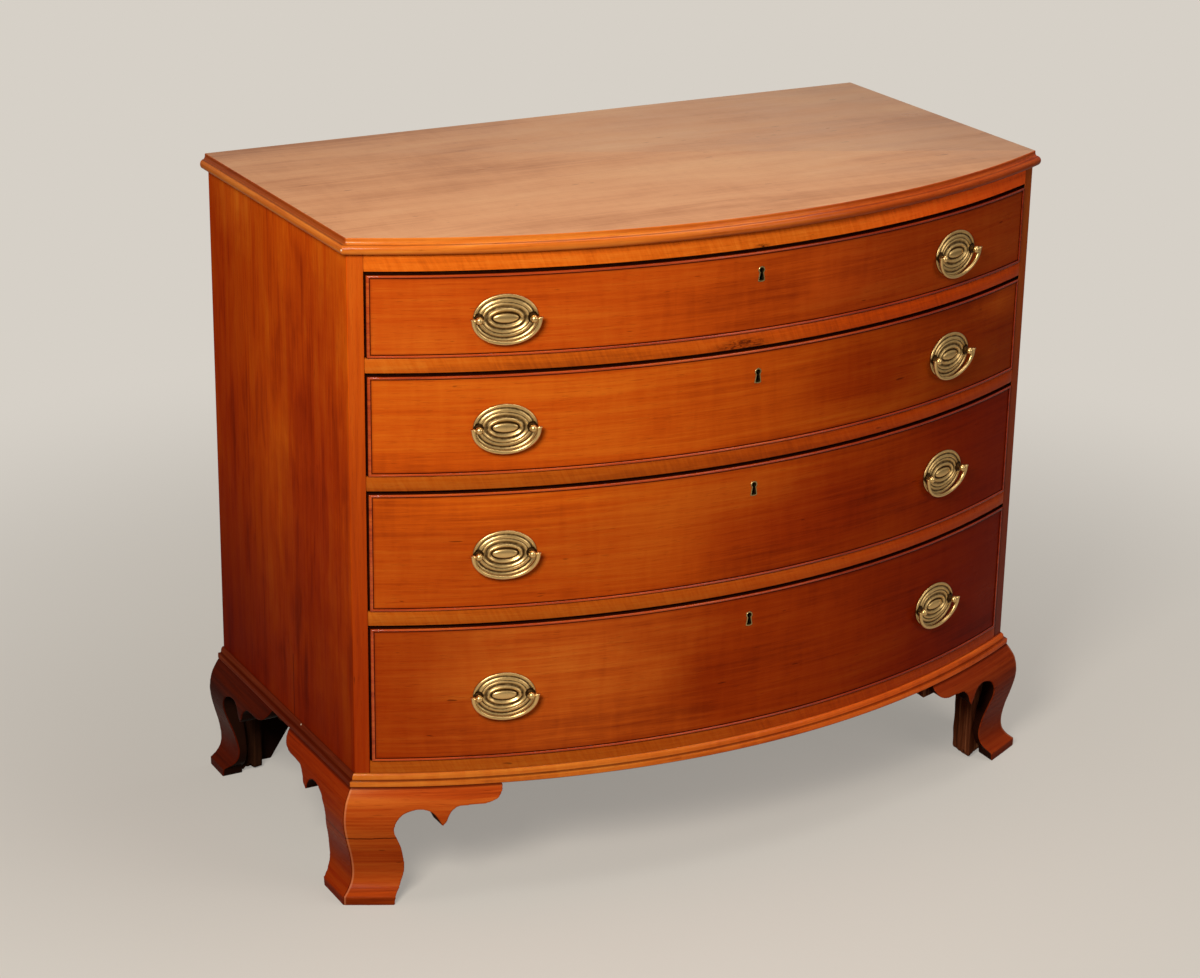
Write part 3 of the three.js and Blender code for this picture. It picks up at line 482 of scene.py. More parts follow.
def wood(name, tones, grain="X", shift=(0, 0, 0), curl=0.0, streak=0.35, mottle=0.3, ring=0.3, gloss=0.32,
         spec=0.05, coat=0.03, flecks=0.6, bands=0.0, wave=(75, 16, 16), lean=0, bowed=False, marks_and_light=()):
    """Old varnished wood in dark, middle and light tones, with its grain along an axis, or along the bow.

    Curl is the figure across the grain, and bands run with it. Marks and light are a function that changes the
    colour at the end with marks, painted shade and painted light, and what it takes after the nodes and the colour.
    """
    n = Nodes(name)
    dark, middle, light = tones
    turn = GRAINS[grain]

    def fine(run, cross, detail, rough=0.5):
        return n.noise((run, run if bowed else cross, cross), detail, rough, 0.0, shift, turn)

    warp = n.add("TexNoise", {"Vector": n.place((2.2, 5, 5), shift, turn), "Scale": 1.0, "Detail": 2.0})
    bent = n.vector("MULTIPLY", warp.outputs["Color"], (0.05, 0.05, 0.05))
    across = n.vector("MULTIPLY", n.vector("ADD", n.place(1, shift, turn), bent), (0.12, 0.12 if bowed else 1, 1))
    radius = n.length(n.vector("ADD", across, (0, 0.31, 0.07)))
    rings = n.value("Fac", "TexNoise", {"W": radius, "Scale": 95.0, "Detail": 4.0, "Roughness": 0.6},
                    noise_dimensions="1D")
    fibres = fine(6, 260, 4.0, 0.6)
    waves = n.noise(wave, 2.0, 0.5, 0.6, shift, (turn[0], turn[1] + lean, turn[2]))
    parts = [(rings, ring), (fibres, streak), (fine(22, 1100, 2.0), 0.12), (fine(2.6, 9, 3.0, 0.55), mottle),
             (waves, curl), (fine(2.4, 48, 3.0, 0.6), bands)]
    tone = 0.5
    for value, share in parts:
        if share:
            tone = (value - 0.5) * (share * 2) + tone
    pores = fine(55, 1500, 1.0)
    color = n.ramp(tone, [(0.12, dark), (0.46, middle), (0.88, light)])
    color = n.fade(color, (tinted(dark, 0.55), pores, 0.62, 0.74, 0.35))
    if flecks:
        color = n.fade(color, (tinted(dark, 0.3), fine(38, 210, 1.0, 0.4), 0.76, 0.82, flecks))
    if marks_and_light:
        change, *details = marks_and_light
        color = change(n, color, *details)
    rough = n.span(fine(9, 30, 3.0, 0.55), 0.2, 0.8, gloss - 0.05, gloss + 0.07)
    return n.shade(color, rough, n.bump(fibres * 0.6 + pores * -0.4, 0.00012), specular_ior_level=spec,
                   coat_weight=coat, coat_roughness=0.12)


def raw_wood(name, tones, grain="X", shift=(0, 0, 0), spec=0.3):
    """Bare, aged secondary wood: dull, with strong grain and grime."""
    n = Nodes(name)
    dark, middle, light = tones
    turn = GRAINS[grain]
    rings = n.noise((1.5, 42, 42), 3.0, 0.6, 0.4, shift, turn)
    fibres = n.noise((9, 420, 420), 3.0, 0.6, 0.0, shift, turn)
    grime = n.noise((7, 12, 12), 4.0, 0.6, 0.0, shift, turn)
    color = n.ramp(rings * 0.6 + fibres * 0.4, [(0.3, dark), (0.5, middle), (0.68, light)])
    color = n.fade(color, (tinted(dark, 0.6), grime, 0.5, 0.78, 0.5))
    return n.shade(color, n.span(fibres, 0.3, 0.7, 0.62, 0.8), n.bump(fibres, 0.0003), specular_ior_level=spec)


def brass(name, bright, deep, rough=0.26):
    """Old cast brass: gilt where it is worn and where painted light falls, and dark brown in the hollows and where
    painted shade falls.
    """
    n = Nodes(name)
    wander = n.noise(260, 4.0, 0.6)
    spots = n.noise(900, 3.0, 0.6)
    rub_and_light = n.value("Fac", "Attribute", attribute_name="wear_and_shade")
    rubbed_and_lit = n.span(rub_and_light + (wander - 0.5) * 0.6, 0.1, 0.8)
    color = n.fade(n.mix(rubbed_and_lit, deep, bright), (deep, spots, 0.56, 0.7, 0.3))
    roughness = n.span(rubbed_and_lit, 0.0, 1.0, rough + 0.16, rough) + wander * 0.08
    return n.shade(color, roughness, n.bump(wander + spots, 0.00002), metallic=1.0)


def iron():
    n = Nodes("old_iron")
    rust = n.noise(300, 4.0)
    color = n.mix(n.span(rust, 0.4, 0.65), rgb(58, 50, 46), rgb(94, 58, 36))
    return n.shade(color, n.span(rust, 0.3, 0.7, 0.5, 0.75), n.bump(rust, 0.0001), metallic=0.8)


# Woods of the chest
# TAN is pale partly as a painted sheen on the top's flat and partly from fading
TAN = (rgb(158, 100, 62), rgb(194, 136, 94), rgb(208, 156, 112))
RED = (rgb(118, 30, 7), rgb(176, 60, 14), rgb(206, 88, 24))
SIDE = (rgb(144, 40, 5), rgb(214, 82, 9), rgb(238, 118, 20))
ORANGE = (rgb(140, 42, 7), rgb(194, 74, 13), rgb(216, 104, 26))
HONEY = (rgb(150, 62, 14), rgb(206, 104, 28), rgb(228, 138, 48))
AMBER = (rgb(158, 66, 10), rgb(200, 92, 16), rgb(218, 120, 34))
POST = (rgb(158, 56, 9), rgb(196, 80, 13), rgb(214, 104, 23))
BEAD = (rgb(100, 28, 8), rgb(178, 64, 15), rgb(214, 100, 28))
POPLAR = (rgb(120, 88, 56), rgb(168, 134, 92), rgb(192, 162, 118))
PINE = (rgb(96, 66, 40), rgb(140, 102, 64), rgb(168, 130, 86))
# Near-black browns that paint the shade inside the case, under it and in the gaps
SHADOW_BROWNS = (rgb(30, 16, 9), rgb(52, 29, 17), rgb(84, 50, 30))
SOOT = (rgb(24, 11, 6), rgb(112, 56, 30), rgb(206, 140, 94))
UMBER = (rgb(70, 18, 6), rgb(112, 38, 14), rgb(146, 66, 30))
# Tints for painted shade and painted light across the chest; DUSKY paints shade in the top's recess
DEEPER = (0.62, 0.36, 0.22, 1.0)
WARMER = (1.08, 0.6, 0.5, 1.0)
RUSSET = (0.64, 0.38, 0.36, 1.0)
DUSKY = (0.55, 0.38, 0.3, 1.0)
RUDDY = (1.2, 0.78, 0.7, 1.0)
DEEPEST = (0.4, 0.19, 0.1, 1.0)


def falloff_tint(n, color, axis, start, end, depth, tint=DEEPER):
    """A tint that grows along an axis: painted shade and painted light where light falls off across the chest,
    partly patina.
    """
    place = n.axes()[axis] + n.noise(3) * 0.2
    return n.mix(n.span(place, start + 0.1, end + 0.1, 0.0, depth), color, tint, "MULTIPLY")


def clouds(n, color, patches):
    """Soft, uneven patches of another tone: each a place, how far it reaches along each axis, and its tint."""
    uneven = (n.noise((9, 9, 16), 4.0) - 0.5) * 0.9
    for place, reach, tint in patches:
        color = n.mix(n.span(n.away(place, reach) + uneven, 1.05, 0.2), color, (*tint, 1.0), "MULTIPLY")
    return color


def pale_spot(n, color, place, radius):
    """A small pale spot at a place."""
    return n.fade(color, (rgb(232, 206, 176), n.away(place), radius, radius * 0.5, 1.0))


def crack(n, color, across, along, start, end):
    """A thin dark crack where a wandering measure is nought, between two places along it."""
    inside = n.span(along, start - 0.004, start) * n.span(along, end + 0.004, end)
    line = n.span(abs(across), 0.0012, 0.0004, 0.0, 0.85)
    return n.mix(inside * line, color, tinted(RED[0], 0.3))


def crease_shade(n, color, levels, width, depth):
    """Painted shade along the horizontal crease lines at some heights."""
    z = n.axes()[2]
    return n.fade(color, *((tinted(RED[0], 0.4), abs(z - level), width, 0.0, depth) for level in levels))


def bow_reach(n, x, y):
    """How far a place stands out from the case's bowed front."""
    away = BOW_CENTRE_Y - y
    return n.math("SQRT", x * x + away * away) - BOW_RADIUS


# Case
# The top's edge: points down its arris, then the cove and the bead, each with its half width and half height
TOP_ARRIS = [(0.0011, 0), (0.0017, 0.0003), (0.002, 0.0009)]
TOP_COVE_PLACE = (0.0054, 0.0024)
TOP_COVE = (0.0034, 0.005)
TOP_BEAD_OUT = 0.0044
TOP_BEAD = (0.0043, 0.0058)
TOP_CREASE = 0.0075


def top_board():
    """The board with its moulded edge on three sides: flat, fillet, cove, bead and underside."""
    (out, down), (wide, tall) = TOP_COVE_PLACE, TOP_COVE
    cove = arc(out, TOP_HIGH - down, -wide, -tall, 0, 90, 8)
    bead = arc(TOP_BEAD_OUT, TOP_LOW + TOP_BEAD[1], *TOP_BEAD, 76, -90, 16)
    section = [*((out, TOP_HIGH - down) for out, down in TOP_ARRIS), *cove, *bead]
    rings = []
    for out, z in section:
        half = CASE_HALF + out
        front = bow_line(out, -half, half)
        left = soft_corner((-half, TOP_BACK_Y), front[0], front[1])
        right = soft_corner((half, TOP_BACK_Y), front[-1], front[-2])
        outline = [(-half, TOP_BACK_Y), *left, *front[1:-1], *reversed(right), (half, TOP_BACK_Y)]
        rings.append([(x, y, z) for x, y in outline])
    made = loft("top_board_moulded", rings, smooth_angle=50)
    # The flat faces get the paler tan, partly a painted sheen and partly faded wood
    flat = wood("top_wood", TAN, shift=(0.3, 0.2, 0), curl=0.08, streak=0.18, mottle=0.6, ring=0.18, spec=0.3,
                coat=0.15)
    edge = wood("top_edge_wood", HONEY, shift=(0.1, 0.7, 0.4), curl=0.07, bowed=True, gloss=0.26, coat=0.15,
                marks_and_light=[edge_shade_and_glints])
    dress(made, [edge, flat], "case", "top_wood", "top_board")
    for face in made.data.polygons:
        face.material_index = int(face.normal.z > 0.9 and len(face.vertices) > 8)


def edge_shade_and_glints(n, color):
    """Painted shade deepens the top's edge to the right, partly patina, and darkens its crease and, on the left
    side, its recess. Painted glints light its front corner.
    """
    color = falloff_tint(n, color, 0, -0.3, 0.3, 1.0, RUSSET)
    color = crease_shade(n, color, [TOP_HIGH - TOP_CREASE], 0.001, 0.5)
    x, _, z = n.axes()
    recess = n.span(x, -CASE_HALF, -CASE_HALF - 0.002) * n.span(z, TOP_HIGH - 0.0085, TOP_HIGH - 0.006)
    color = n.mix(recess, color, DUSKY, "MULTIPLY")
    # Painted glints on the front corners of the cove and the bead
    for out, down in ((0.002, 0.0076), (0.0084, 0.0125)):
        corner = CASE_HALF + out
        color = pale_spot(n, color, (-corner, bow_y(out, corner), TOP_HIGH - down), 0.0016)
    return color


CORNER_WEAR = 0.0012


def soft_corner(before, corner, after):
    """A corner of an outline as three points, worn a little round."""
    c, a, b = Vector(corner), Vector(before), Vector(after)
    start = c + (a - c).normalized() * CORNER_WEAR
    end = c + (b - c).normalized() * CORNER_WEAR
    return [tuple(start), tuple((start + end) / 4 + c / 2), tuple(end)]


# The right post is painted darker as shade
POST_SHADES = {"left": 1.0, "right": 0.7}
LEFT_SIDE_CLOUDS = [
    ((0, -0.05, 0.5), (0, 0.16, 0.42), (0.7, 0.48, 0.7)),
    ((0, 0.21, 0.82), (0, 0.1, 0.09), (1.3, 2.0, 4.0)),
]


def case_sides():
    low, high = heights("right_side")
    outer = [(CASE_HALF, BACK_Y), *bow_line(0, CASE_HALF, OPENING_HALF, 4), (OPENING_HALF, BACK_Y)]
    made = settle(prism("right_side_board", outer, low, high, bevel=0.0012, segments=3))
    # The inner faces of the sides, seen in the drawer gaps, are painted dark as shade
    hidden = raw_wood("case_inside_wood", SHADOW_BROWNS, "Z", (0.4, 0, 0.2))
    for board, side in ((made, "right"), (mirrored(made, "left_side_board"), "left")):
        shift = (0.17, 0.05 * SIDES[side], 0.4)
        face = wood(f"{side}_side_wood", SIDE, "Z", shift, streak=0.2, mottle=0.34, ring=0.05, bands=0.3, curl=0.3,
                    wave=(11, 40, 40), gloss=0.34, spec=0.004, coat=0.006, flecks=0.3,
                    marks_and_light=[side_shade_and_marks, side])
        # Painted shade darkens each post towards the floor
        post = wood(f"{side}_post_wood", shaded(POST, POST_SHADES[side]), "Z", shift, streak=0.25, mottle=0.4,
                    gloss=0.3, marks_and_light=[falloff_tint, 2, 0.8, 0.15, 1.0])
        dress(board, [face, post, hidden], "case", "side_wood", f"{side}_side")
        for polygon in board.data.polygons:
            inner = abs(polygon.center.x) < OPENING_HALF + 0.001 and abs(polygon.normal.x) > 0.7
            polygon.material_index = 2 if inner else int(polygon.normal.y < -0.6)


def side_shade_and_marks(n, color, side):
    """Painted shade darkens and reddens a side towards the floor and the wall. The left one has patches, and a short
    crack at its foot.
    """
    color = falloff_tint(n, color, 2, 0.62, 0.12, 1.0, DEEPEST)
    color = falloff_tint(n, color, 1, 0.0, 0.25, 0.95)
    if side == "right":
        return color
    _, y, z = n.axes()
    return crack(n, clouds(n, color, LEFT_SIDE_CLOUDS), y + n.noise((0, 0, 30)) * 0.004 - 0.0345, z, 0.165, 0.25)


RAIL_BACK_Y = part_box("dust_board_1")[0].y + 0.008
STOP_RISE = 0.0035
STOP_HALF = 0.015
STOP_DEPTH = 0.018
STOP_PLACE_SHARE = 0.33
# Painted light and shade on the rails: the top rail is lighter against its overhang's shade, and the lower rails are
# darker
RAIL_SHADES = (1.3, 1.0, 0.78, 0.84, 0.74)
RAIL_MARKS = {
    "top_rail": [((0.001, -0.2886, 0.7978), (0.014, 0, 0.0036), 1.0)],
    "divider_rail_1": [
        ((-0.02, -0.2884, 0.679), (0.05, 0, 0.012), 0.85),
        ((-0.015, -0.2885, 0.6704), (0.02, 0, 0.004), 1.0),
    ],
}
RAIL_TURNS = {"top_rail": ((0.0, 0.42), (1.5, 0.95, 1.3, 1.0))}


def rail(name, node, carries_stops):
    """A bowed rail, with the two drawer stops on it."""
    low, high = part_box(node)
    top = high.z - STOP_RISE if carries_stops else high.z
    half = OPENING_HALF - SEAM
    outline = [*bow_line(0, -half, half), (half, RAIL_BACK_Y), (-half, RAIL_BACK_Y)]
    made = settle(prism(name, outline, low.z, top, bevel=0.0006))
    if carries_stops:
        for side in SIDES.values():
            x = side * OPENING_HALF * STOP_PLACE_SHARE
            y = bow_y(-FRONT_THICKNESS, abs(x) + STOP_HALF) + SEAM
            stop = slab("stop", (x - STOP_HALF, y, top - STOP_RISE), (x + STOP_HALF, y + STOP_DEPTH, high.z))
            boolean(made, stop, "UNION")
        tidy(made)
    return made


def rails():
    """The top rail, the dividers and the bottom rail. All but the first carry drawer stops."""
    nodes = ("top_rail", "divider_rail_1", "divider_rail_2", "divider_rail_3", "bottom_rail")
    for number, node in enumerate(nodes):
        look = wood(f"{node}_wood", shaded(AMBER, RAIL_SHADES[number]),
                    shift=(0.37 * number, 0.21 * number, 0.13 * number), curl=0.24, wave=(250, 36, 36), lean=24,
                    streak=0.22, mottle=0.34, ring=0.14, gloss=0.3, bowed=True,
                    marks_and_light=[rail_light_and_knots, node])
        dress(rail(f"{node}_bowed", node, number > 0), look, "case", "rail_wood", node)


def rail_light_and_knots(n, color, node):
    """Painted light lifts the top rail to the right where the top's overhang shades it, painted shade turns the
    other rails redder to the right, and two have knots.
    """
    reach, tint = RAIL_TURNS.get(node, ((-0.3, 0.3), WARMER))
    color = falloff_tint(n, color, 0, *reach, 1.0, tint)
    for mark in RAIL_MARKS.get(node, ()):
        color = knot(n, color, *mark)
    return color


def knot(n, color, place, reach, depth):
    """Dark swirling grain around a place."""
    swirl = n.noise((70, 0, 260), 4.0, 0.65, 1.5)
    mask = n.span(n.away(place, reach), 1.0, 0.3, 0.0, depth) * n.span(swirl, 0.42, 0.62, 0.25, 1.0)
    return n.mix(mask, color, tinted(RED[0], 0.22))


# The base moulding: points out from the case and down from its top, or up from its underside
BASE_EASE = (0.0005, 0.0002)
BASE_ROUND = (0.0034, 0.0068)
BASE_ROUND_DOWN = 0.0072
BASE_STEP = [(0.0042, 0.0082), (0.0078, 0.0086), (0.0082, 0.0092)]
BASE_ARRIS = [(0.0082, 0.0006), (0.0077, 0)]


def base_section():
    """The base moulding: a round over a step and a flat band."""
    round_over = arc(BASE_EASE[0], BASE_HIGH - BASE_ROUND_DOWN, *BASE_ROUND, 90, 0, 10)
    step = [(out, BASE_HIGH - down) for out, down in BASE_STEP]
    arris = [(out, BASE_LOW + up) for out, up in BASE_ARRIS]
    return [(SEAM, BASE_HIGH - BASE_EASE[1]), *round_over, *step, *arris, (SEAM, BASE_LOW)]


def base_mouldings():
    section = base_section()
    front = along_bow("base_moulding_front_run", section, -CASE_HALF, CASE_HALF, mitre=1)
    look = wood("base_front_wood", HONEY, shift=(0.9, 0.1, 0.5), curl=0.16, gloss=0.28, coat=0.1, bowed=True,
                marks_and_light=[base_shade_and_marks, "front"])
    dress(front, look, "case", "moulding_wood", "base_moulding_front")
    for side, sign in SIDES.items():
        rings = [
            [(sign * (CASE_HALF + out), bow_y(out, CASE_HALF + out) + SEAM, z) for out, z in section],
            [(sign * (CASE_HALF + out), BACK_Y, z) for out, z in section],
        ]
        made = loft(f"base_moulding_{side}_run", rings)
        look = wood(f"base_{side}_wood", UMBER, "Y", (0.4, 0.2 * sign, 0.1), gloss=0.3, spec=0.01, coat=0.015,
                    marks_and_light=[base_shade_and_marks, side])
        dress(made, look, "case", "moulding_wood", f"base_moulding_{side}")


def base_shade_and_marks(n, color, part):
    """Painted shade lies in the crease lines. The front length turns redder to the right as painted light, and the
    left one has a small pale spot.
    """
    if part == "front":
        color = falloff_tint(n, color, 0, -0.3, 0.3, 1.0, RUDDY)
    color = crease_shade(n, color, (BASE_HIGH - BASE_STEP[0][1], BASE_HIGH, BASE_LOW), 0.0012, 0.8)
    if part == "left":
        color = pale_spot(n, color, (-CASE_HALF - 0.0032, 0.006, BASE_HIGH - 0.0014), 0.0018)
    return color


# Feet. Shares follow the foot's height, from the top down, and the ogee's or the bracket's reach.
OGEE_SHARES = [
    (0, 0.38), (0.05, 0.6), (0.125, 0.86), (0.235, 1), (0.34, 0.95), (0.46, 0.76), (0.58, 0.53), (0.685, 0.395),
    (0.765, 0.37), (0.83, 0.47), (0.885, 0.74), (0.928, 1.1), (1, 1.1),
]
BRACKET_SHARES = [
    (1, 0), (0.985, 0.04), (0.955, 0.075), (0.9, 0.11), (0.78, 0.138), (0.53, 0.147), (0.455, 0.175), (0.41, 0.215),
    (0.38, 0.275), (0.34, 0.315), (0.3, 0.255), (0.24, 0.195), (0.15, 0.167), (0.06, 0.17), (-0.05, 0.2),
    (-0.115, 0.25), (-0.145, 0.31), (-0.14, 0.375), (-0.1, 0.44), (-0.045, 0.54), (0, 0.7), (-0.02, 0.79),
    (-0.07, 0.865), (-0.15, 0.925), (-0.165, 1),
]
SPUR = 9
TOE = 11
FOOT_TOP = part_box("foot_front_right")[1].z
FOOT_ROUNDS = 3
# The side faces of the feet are painted darker than their fronts as shade, and the right and rear feet are darker
# partly as painted shade
FOOT_SIDE_SHADES = {"foot_front": (0.66, 0.42, 0.3), "foot_rear": (0.95, 0.72, 0.5)}
FOOT_WOODS = {
    ("foot_front", "left"): (rgb(104, 32, 9), rgb(180, 69, 17), rgb(212, 108, 36)),
    ("foot_front", "right"): (rgb(98, 28, 9), rgb(146, 50, 17), rgb(178, 74, 28)),
    ("foot_rear", "left"): (rgb(44, 13, 5), rgb(78, 24, 9), rgb(108, 38, 14)),
    ("foot_rear", "right"): (rgb(60, 18, 6), rgb(104, 32, 11), rgb(138, 50, 18)),
}


def ogee(inner):
    """The section of a bracket: its ogee face and its flat back."""
    face = [(OGEE_REACH * reach, FOOT_TOP * (1 - down)) for down, reach in OGEE_SHARES]
    return [(inner, FOOT_TOP), *through(face, 5, (TOE,)), (inner, 0)]


def bracket(leg):
    """The outline of a bracket, as (distance from the corner, z) points."""
    edge = [(leg + BRACKET_REACH * along, FOOT_TOP * (1 - down)) for along, down in BRACKET_SHARES]
    beyond = -2 * OGEE_REACH
    line = through(edge, 5, (SPUR, len(edge) - 2))
    return [(beyond, FOOT_TOP + SEAM), (line[0][0], FOOT_TOP + SEAM), *line, (line[-1][0], -SEAM), (beyond, -SEAM)]


def side_bracket(corner_y, inwards):
    section = [(CASE_HALF + out, z) for out, z in ogee(-BRACKET_INSET)]
    reach = SIDE_LEG + BRACKET_REACH + OGEE_REACH
    ends = sorted((corner_y - inwards * 2 * OGEE_REACH, corner_y + inwards * reach))
    bar = prism("bar", section, *ends, axis="Y")
    outline = [(corner_y + inwards * along, z) for along, z in bracket(SIDE_LEG)]
    return boolean(bar, prism("outline", outline, 0, 2 * CASE_HALF, axis="X"), "INTERSECT")


def front_bracket():
    corner = asin(CASE_HALF / BOW_RADIUS)

    def chord(along):
        return BOW_RADIUS * sin(corner - along / BOW_RADIUS)

    inner = chord(FRONT_LEG + BRACKET_REACH + OGEE_REACH)
    bar = along_bow("bar", ogee(-BRACKET_INSET), inner, CASE_HALF + 2 * OGEE_REACH, 24)
    outline = [(chord(along), z) for along, z in bracket(FRONT_LEG)]
    return boolean(bar, prism("outline", outline, -SIDE_DEPTH, 0, axis="Y"), "INTERSECT")


def front_foot():
    """Two brackets mitred at the corner, with every arris a little rounded, as on an old foot."""
    behind = along_bow("behind", ogee(-SIDE_DEPTH / 2), 0.2, CASE_HALF + 2 * OGEE_REACH, 32)
    side = boolean(side_bracket(CORNER_Y, 1), behind, "INTERSECT")
    within = [(CASE_HALF + out, z) for out, z in ogee(-CASE_HALF / 2)]
    front = boolean(front_bracket(), prism("within", within, -SIDE_DEPTH, SIDE_DEPTH, axis="Y"), "INTERSECT")
    return remesh(boolean(side, front, "UNION"), FOOT_VOXEL, FOOT_ROUNDS)


def rear_foot():
    """A side bracket and a plain board behind it, worn like the front feet."""
    trim = slab("trim", (0, BACK_Y, -SEAM - OGEE_REACH), (2 * CASE_HALF, 2 * BACK_Y, FOOT_TOP + OGEE_REACH))
    made = boolean(side_bracket(BACK_Y, -1), trim)
    inner = CASE_HALF - BRACKET_INSET + SEAM
    board = [(inner, 0), (inner, FOOT_TOP), (inner - REAR_BOARD_TOP, FOOT_TOP), (inner - REAR_BOARD_FOOT, 0)]
    boolean(made, prism("board", board, BACK_Y - REAR_BOARD, BACK_Y, axis="Y"), "UNION")
    return remesh(made, FOOT_VOXEL, FOOT_ROUNDS)


def foot_depth(has_front):
    """How deep a point of a foot lies under its ogee faces."""
    face = sorted((z, out) for out, z in ogee(0)[1:-1])

    def depth(place):
        for (z0, out0), (z1, out1) in zip(face, face[1:]):
            if place.z <= z1:
                break
        out = lerp(out0, out1, clamp((place.z - z0) / max(z1 - z0, 1e-6)))
        reaches = [CASE_HALF + out - abs(place.x)]
        if has_front:
            reaches.append(BOW_RADIUS + out - hypot(place.x, BOW_CENTRE_Y - place.y))
        return max(min(reaches), 0)
    return depth


def rough_block(outline, low):
    """A sawn glue block under the case: split, chamfered and out of true."""
    made = remesh(prism("block", outline, low, FOOT_TOP, bevel=0.0015), BLOCK_VOXEL)
    for vertex in made.data.vertices:
        place = vertex.co
        ridges = noise.noise(Vector((place.x * 240, place.y * 240, place.z * 35)))
        lumps = noise.noise(place * 60)
        vertex.co = place + vertex.normal * (0.0007 * ridges + 0.0008 * lumps - 0.0009)
        if place.z < low + 0.005:
            vertex.co.z += 0.009 * abs(noise.noise(Vector((place.x * 70, place.y * 70, 0))))
    return made


def front_strip():
    section = oblong(-BRACKET_INSET, FOOT_TOP, -BRACKET_INSET - STRIP, FOOT_TOP - STRIP)
    corner_x = CASE_HALF - BRACKET_INSET
    return along_bow("strip", section, corner_x - STRIP_LENGTH, corner_x - STRIP, 12, bevel=0.001)


def foot_blocks(kind):
    """The corner block of a right foot, and its glue strips."""
    inner = CASE_HALF - BRACKET_INSET
    low = FOOT_TOP - STRIP
    if kind == "foot_front":
        back_y = CORNER_Y + FRONT_BLOCK_BACK
        end_y = bow_y(-BRACKET_INSET, inner) + STRIP_LENGTH
        side_x = inner - FRONT_BLOCK
        wedge = [*bow_line(-BRACKET_INSET, side_x, inner, 6), (inner, back_y), (side_x, back_y)]
        strip = front_strip()
        return [rough_block(wedge, BLOCK_LIFT), rough_block(oblong(inner - STRIP, back_y, inner, end_y), low), strip]
    rear_y = BACK_Y - REAR_BOARD
    wide, deep = REAR_BLOCK
    return [rough_block(oblong(inner - wide, rear_y - deep, inner, rear_y), BLOCK_LIFT),
            rough_block(oblong(inner - STRIP, rear_y - STRIP_LENGTH, inner, rear_y - deep), low)]


def feet():
    """The right feet with their blocks, and the same mirrored for the left ones."""
    woods = {
        "foot_front": raw_wood("block_wood", SOOT, "Z", spec=0.05),
        # The rear blocks under the case are painted dark as shade
        "foot_rear": raw_wood("rear_block_wood", shaded(SHADOW_BROWNS, 0.85), "Z", spec=0.01),
    }
    for kind, make in (("foot_front", front_foot), ("foot_rear", rear_foot)):
        right = make()
        right.name = f"{kind}_right_ogee"
        keep(right, "depth", foot_depth(kind == "foot_front"))
        for foot, side in ((right, "right"), (mirrored(right, f"{kind}_left_ogee"), "left")):
            looks = []
            for part, grain, shade in (("front", "X", 1), ("side", "Y", FOOT_SIDE_SHADES[kind])):
                looks.append(wood(f"{kind}_{side}_{part}_wood", shaded(FOOT_WOODS[kind, side], shade), grain,
                                  (0.2 * SIDES[side], 0.3, 0.6), streak=0.34, mottle=0.4, ring=0.08, bands=0.32,
                                  gloss=0.26, spec=0.01, coat=0.01, bowed=part == "front",
                                  marks_and_light=[foot_shade_and_marks, kind, side]))
            dress(foot, looks, "case", "foot_wood", f"{kind}_{side}")
            for face in foot.data.polygons:
                x, y, _ = face.center
                face.material_index = int(CASE_HALF - abs(x) < BOW_RADIUS - hypot(x, BOW_CENTRE_Y - y))
        for number, block in enumerate(foot_blocks(kind), 1):
            block.name = f"{kind}_right_block_{number}"
            twin = mirrored(block, f"{kind}_left_block_{number}")
            if (kind, number) in LEFT_BLOCK_ENDS:
                end = BRACKET_INSET - CASE_HALF + LEFT_BLOCK_ENDS[kind, number]
                boolean(twin, slab("trim", (end, -1, -1), (0, 1, 1)))
            for made in (block, twin):
                dress(made, woods[kind], "case", "foot_wood")


def foot_shade_and_marks(n, color, kind, side):
    """A foot darkens at its waist and its pad. Painted shade darkens its inside and the line under the moulding, a
    painted highlight runs beside the mitre's dark joint line, and its arrises turn lighter, partly wear and partly
    painted highlight. One is cracked across its front.
    """
    dark = tinted(RED[0], 0.4)
    x, y, z = n.axes()
    color = n.fade(color, (RED[0], abs(z - FOOT_TOP * 0.3), 0.045, 0.0, 0.35),
                   (tinted(RED[0], 0.6), z + n.noise(40) * 0.004, 0.013, 0.009, 0.4))
    if (kind, side) == ("foot_front", "left"):
        color = crack(n, color, z + n.noise((28, 0, 0)) * 0.005 - 0.0905, x, -0.51, -0.43)
    arris = n.value("Pointiness", "NewGeometry") + (n.noise(90) - 0.5) * 0.03
    mitre = CASE_HALF - abs(x) + bow_reach(n, x, y)
    depth = n.value("Fac", "Attribute", attribute_name="depth") + n.noise((150, 150, 60)) * 0.0014
    # Lighter arrises, partly wear and partly painted highlight; a painted highlight by the mitre's dark joint;
    # painted shade under the moulding and inside
    return n.fade(color, (HONEY[0], arris, 0.54, 0.6, 0.4),
                  (rgb(236, 160, 112), abs(mitre - 0.0018), 0.0014, 0.0004, 0.3),
                  (dark, abs(mitre), 0.001, 0.0004, 0.7),
                  (dark, z, FOOT_TOP - 0.003, FOOT_TOP - 0.001, 0.8),
                  (SHADOW_BROWNS[0], depth, 0.0014, 0.0026, 0.95))


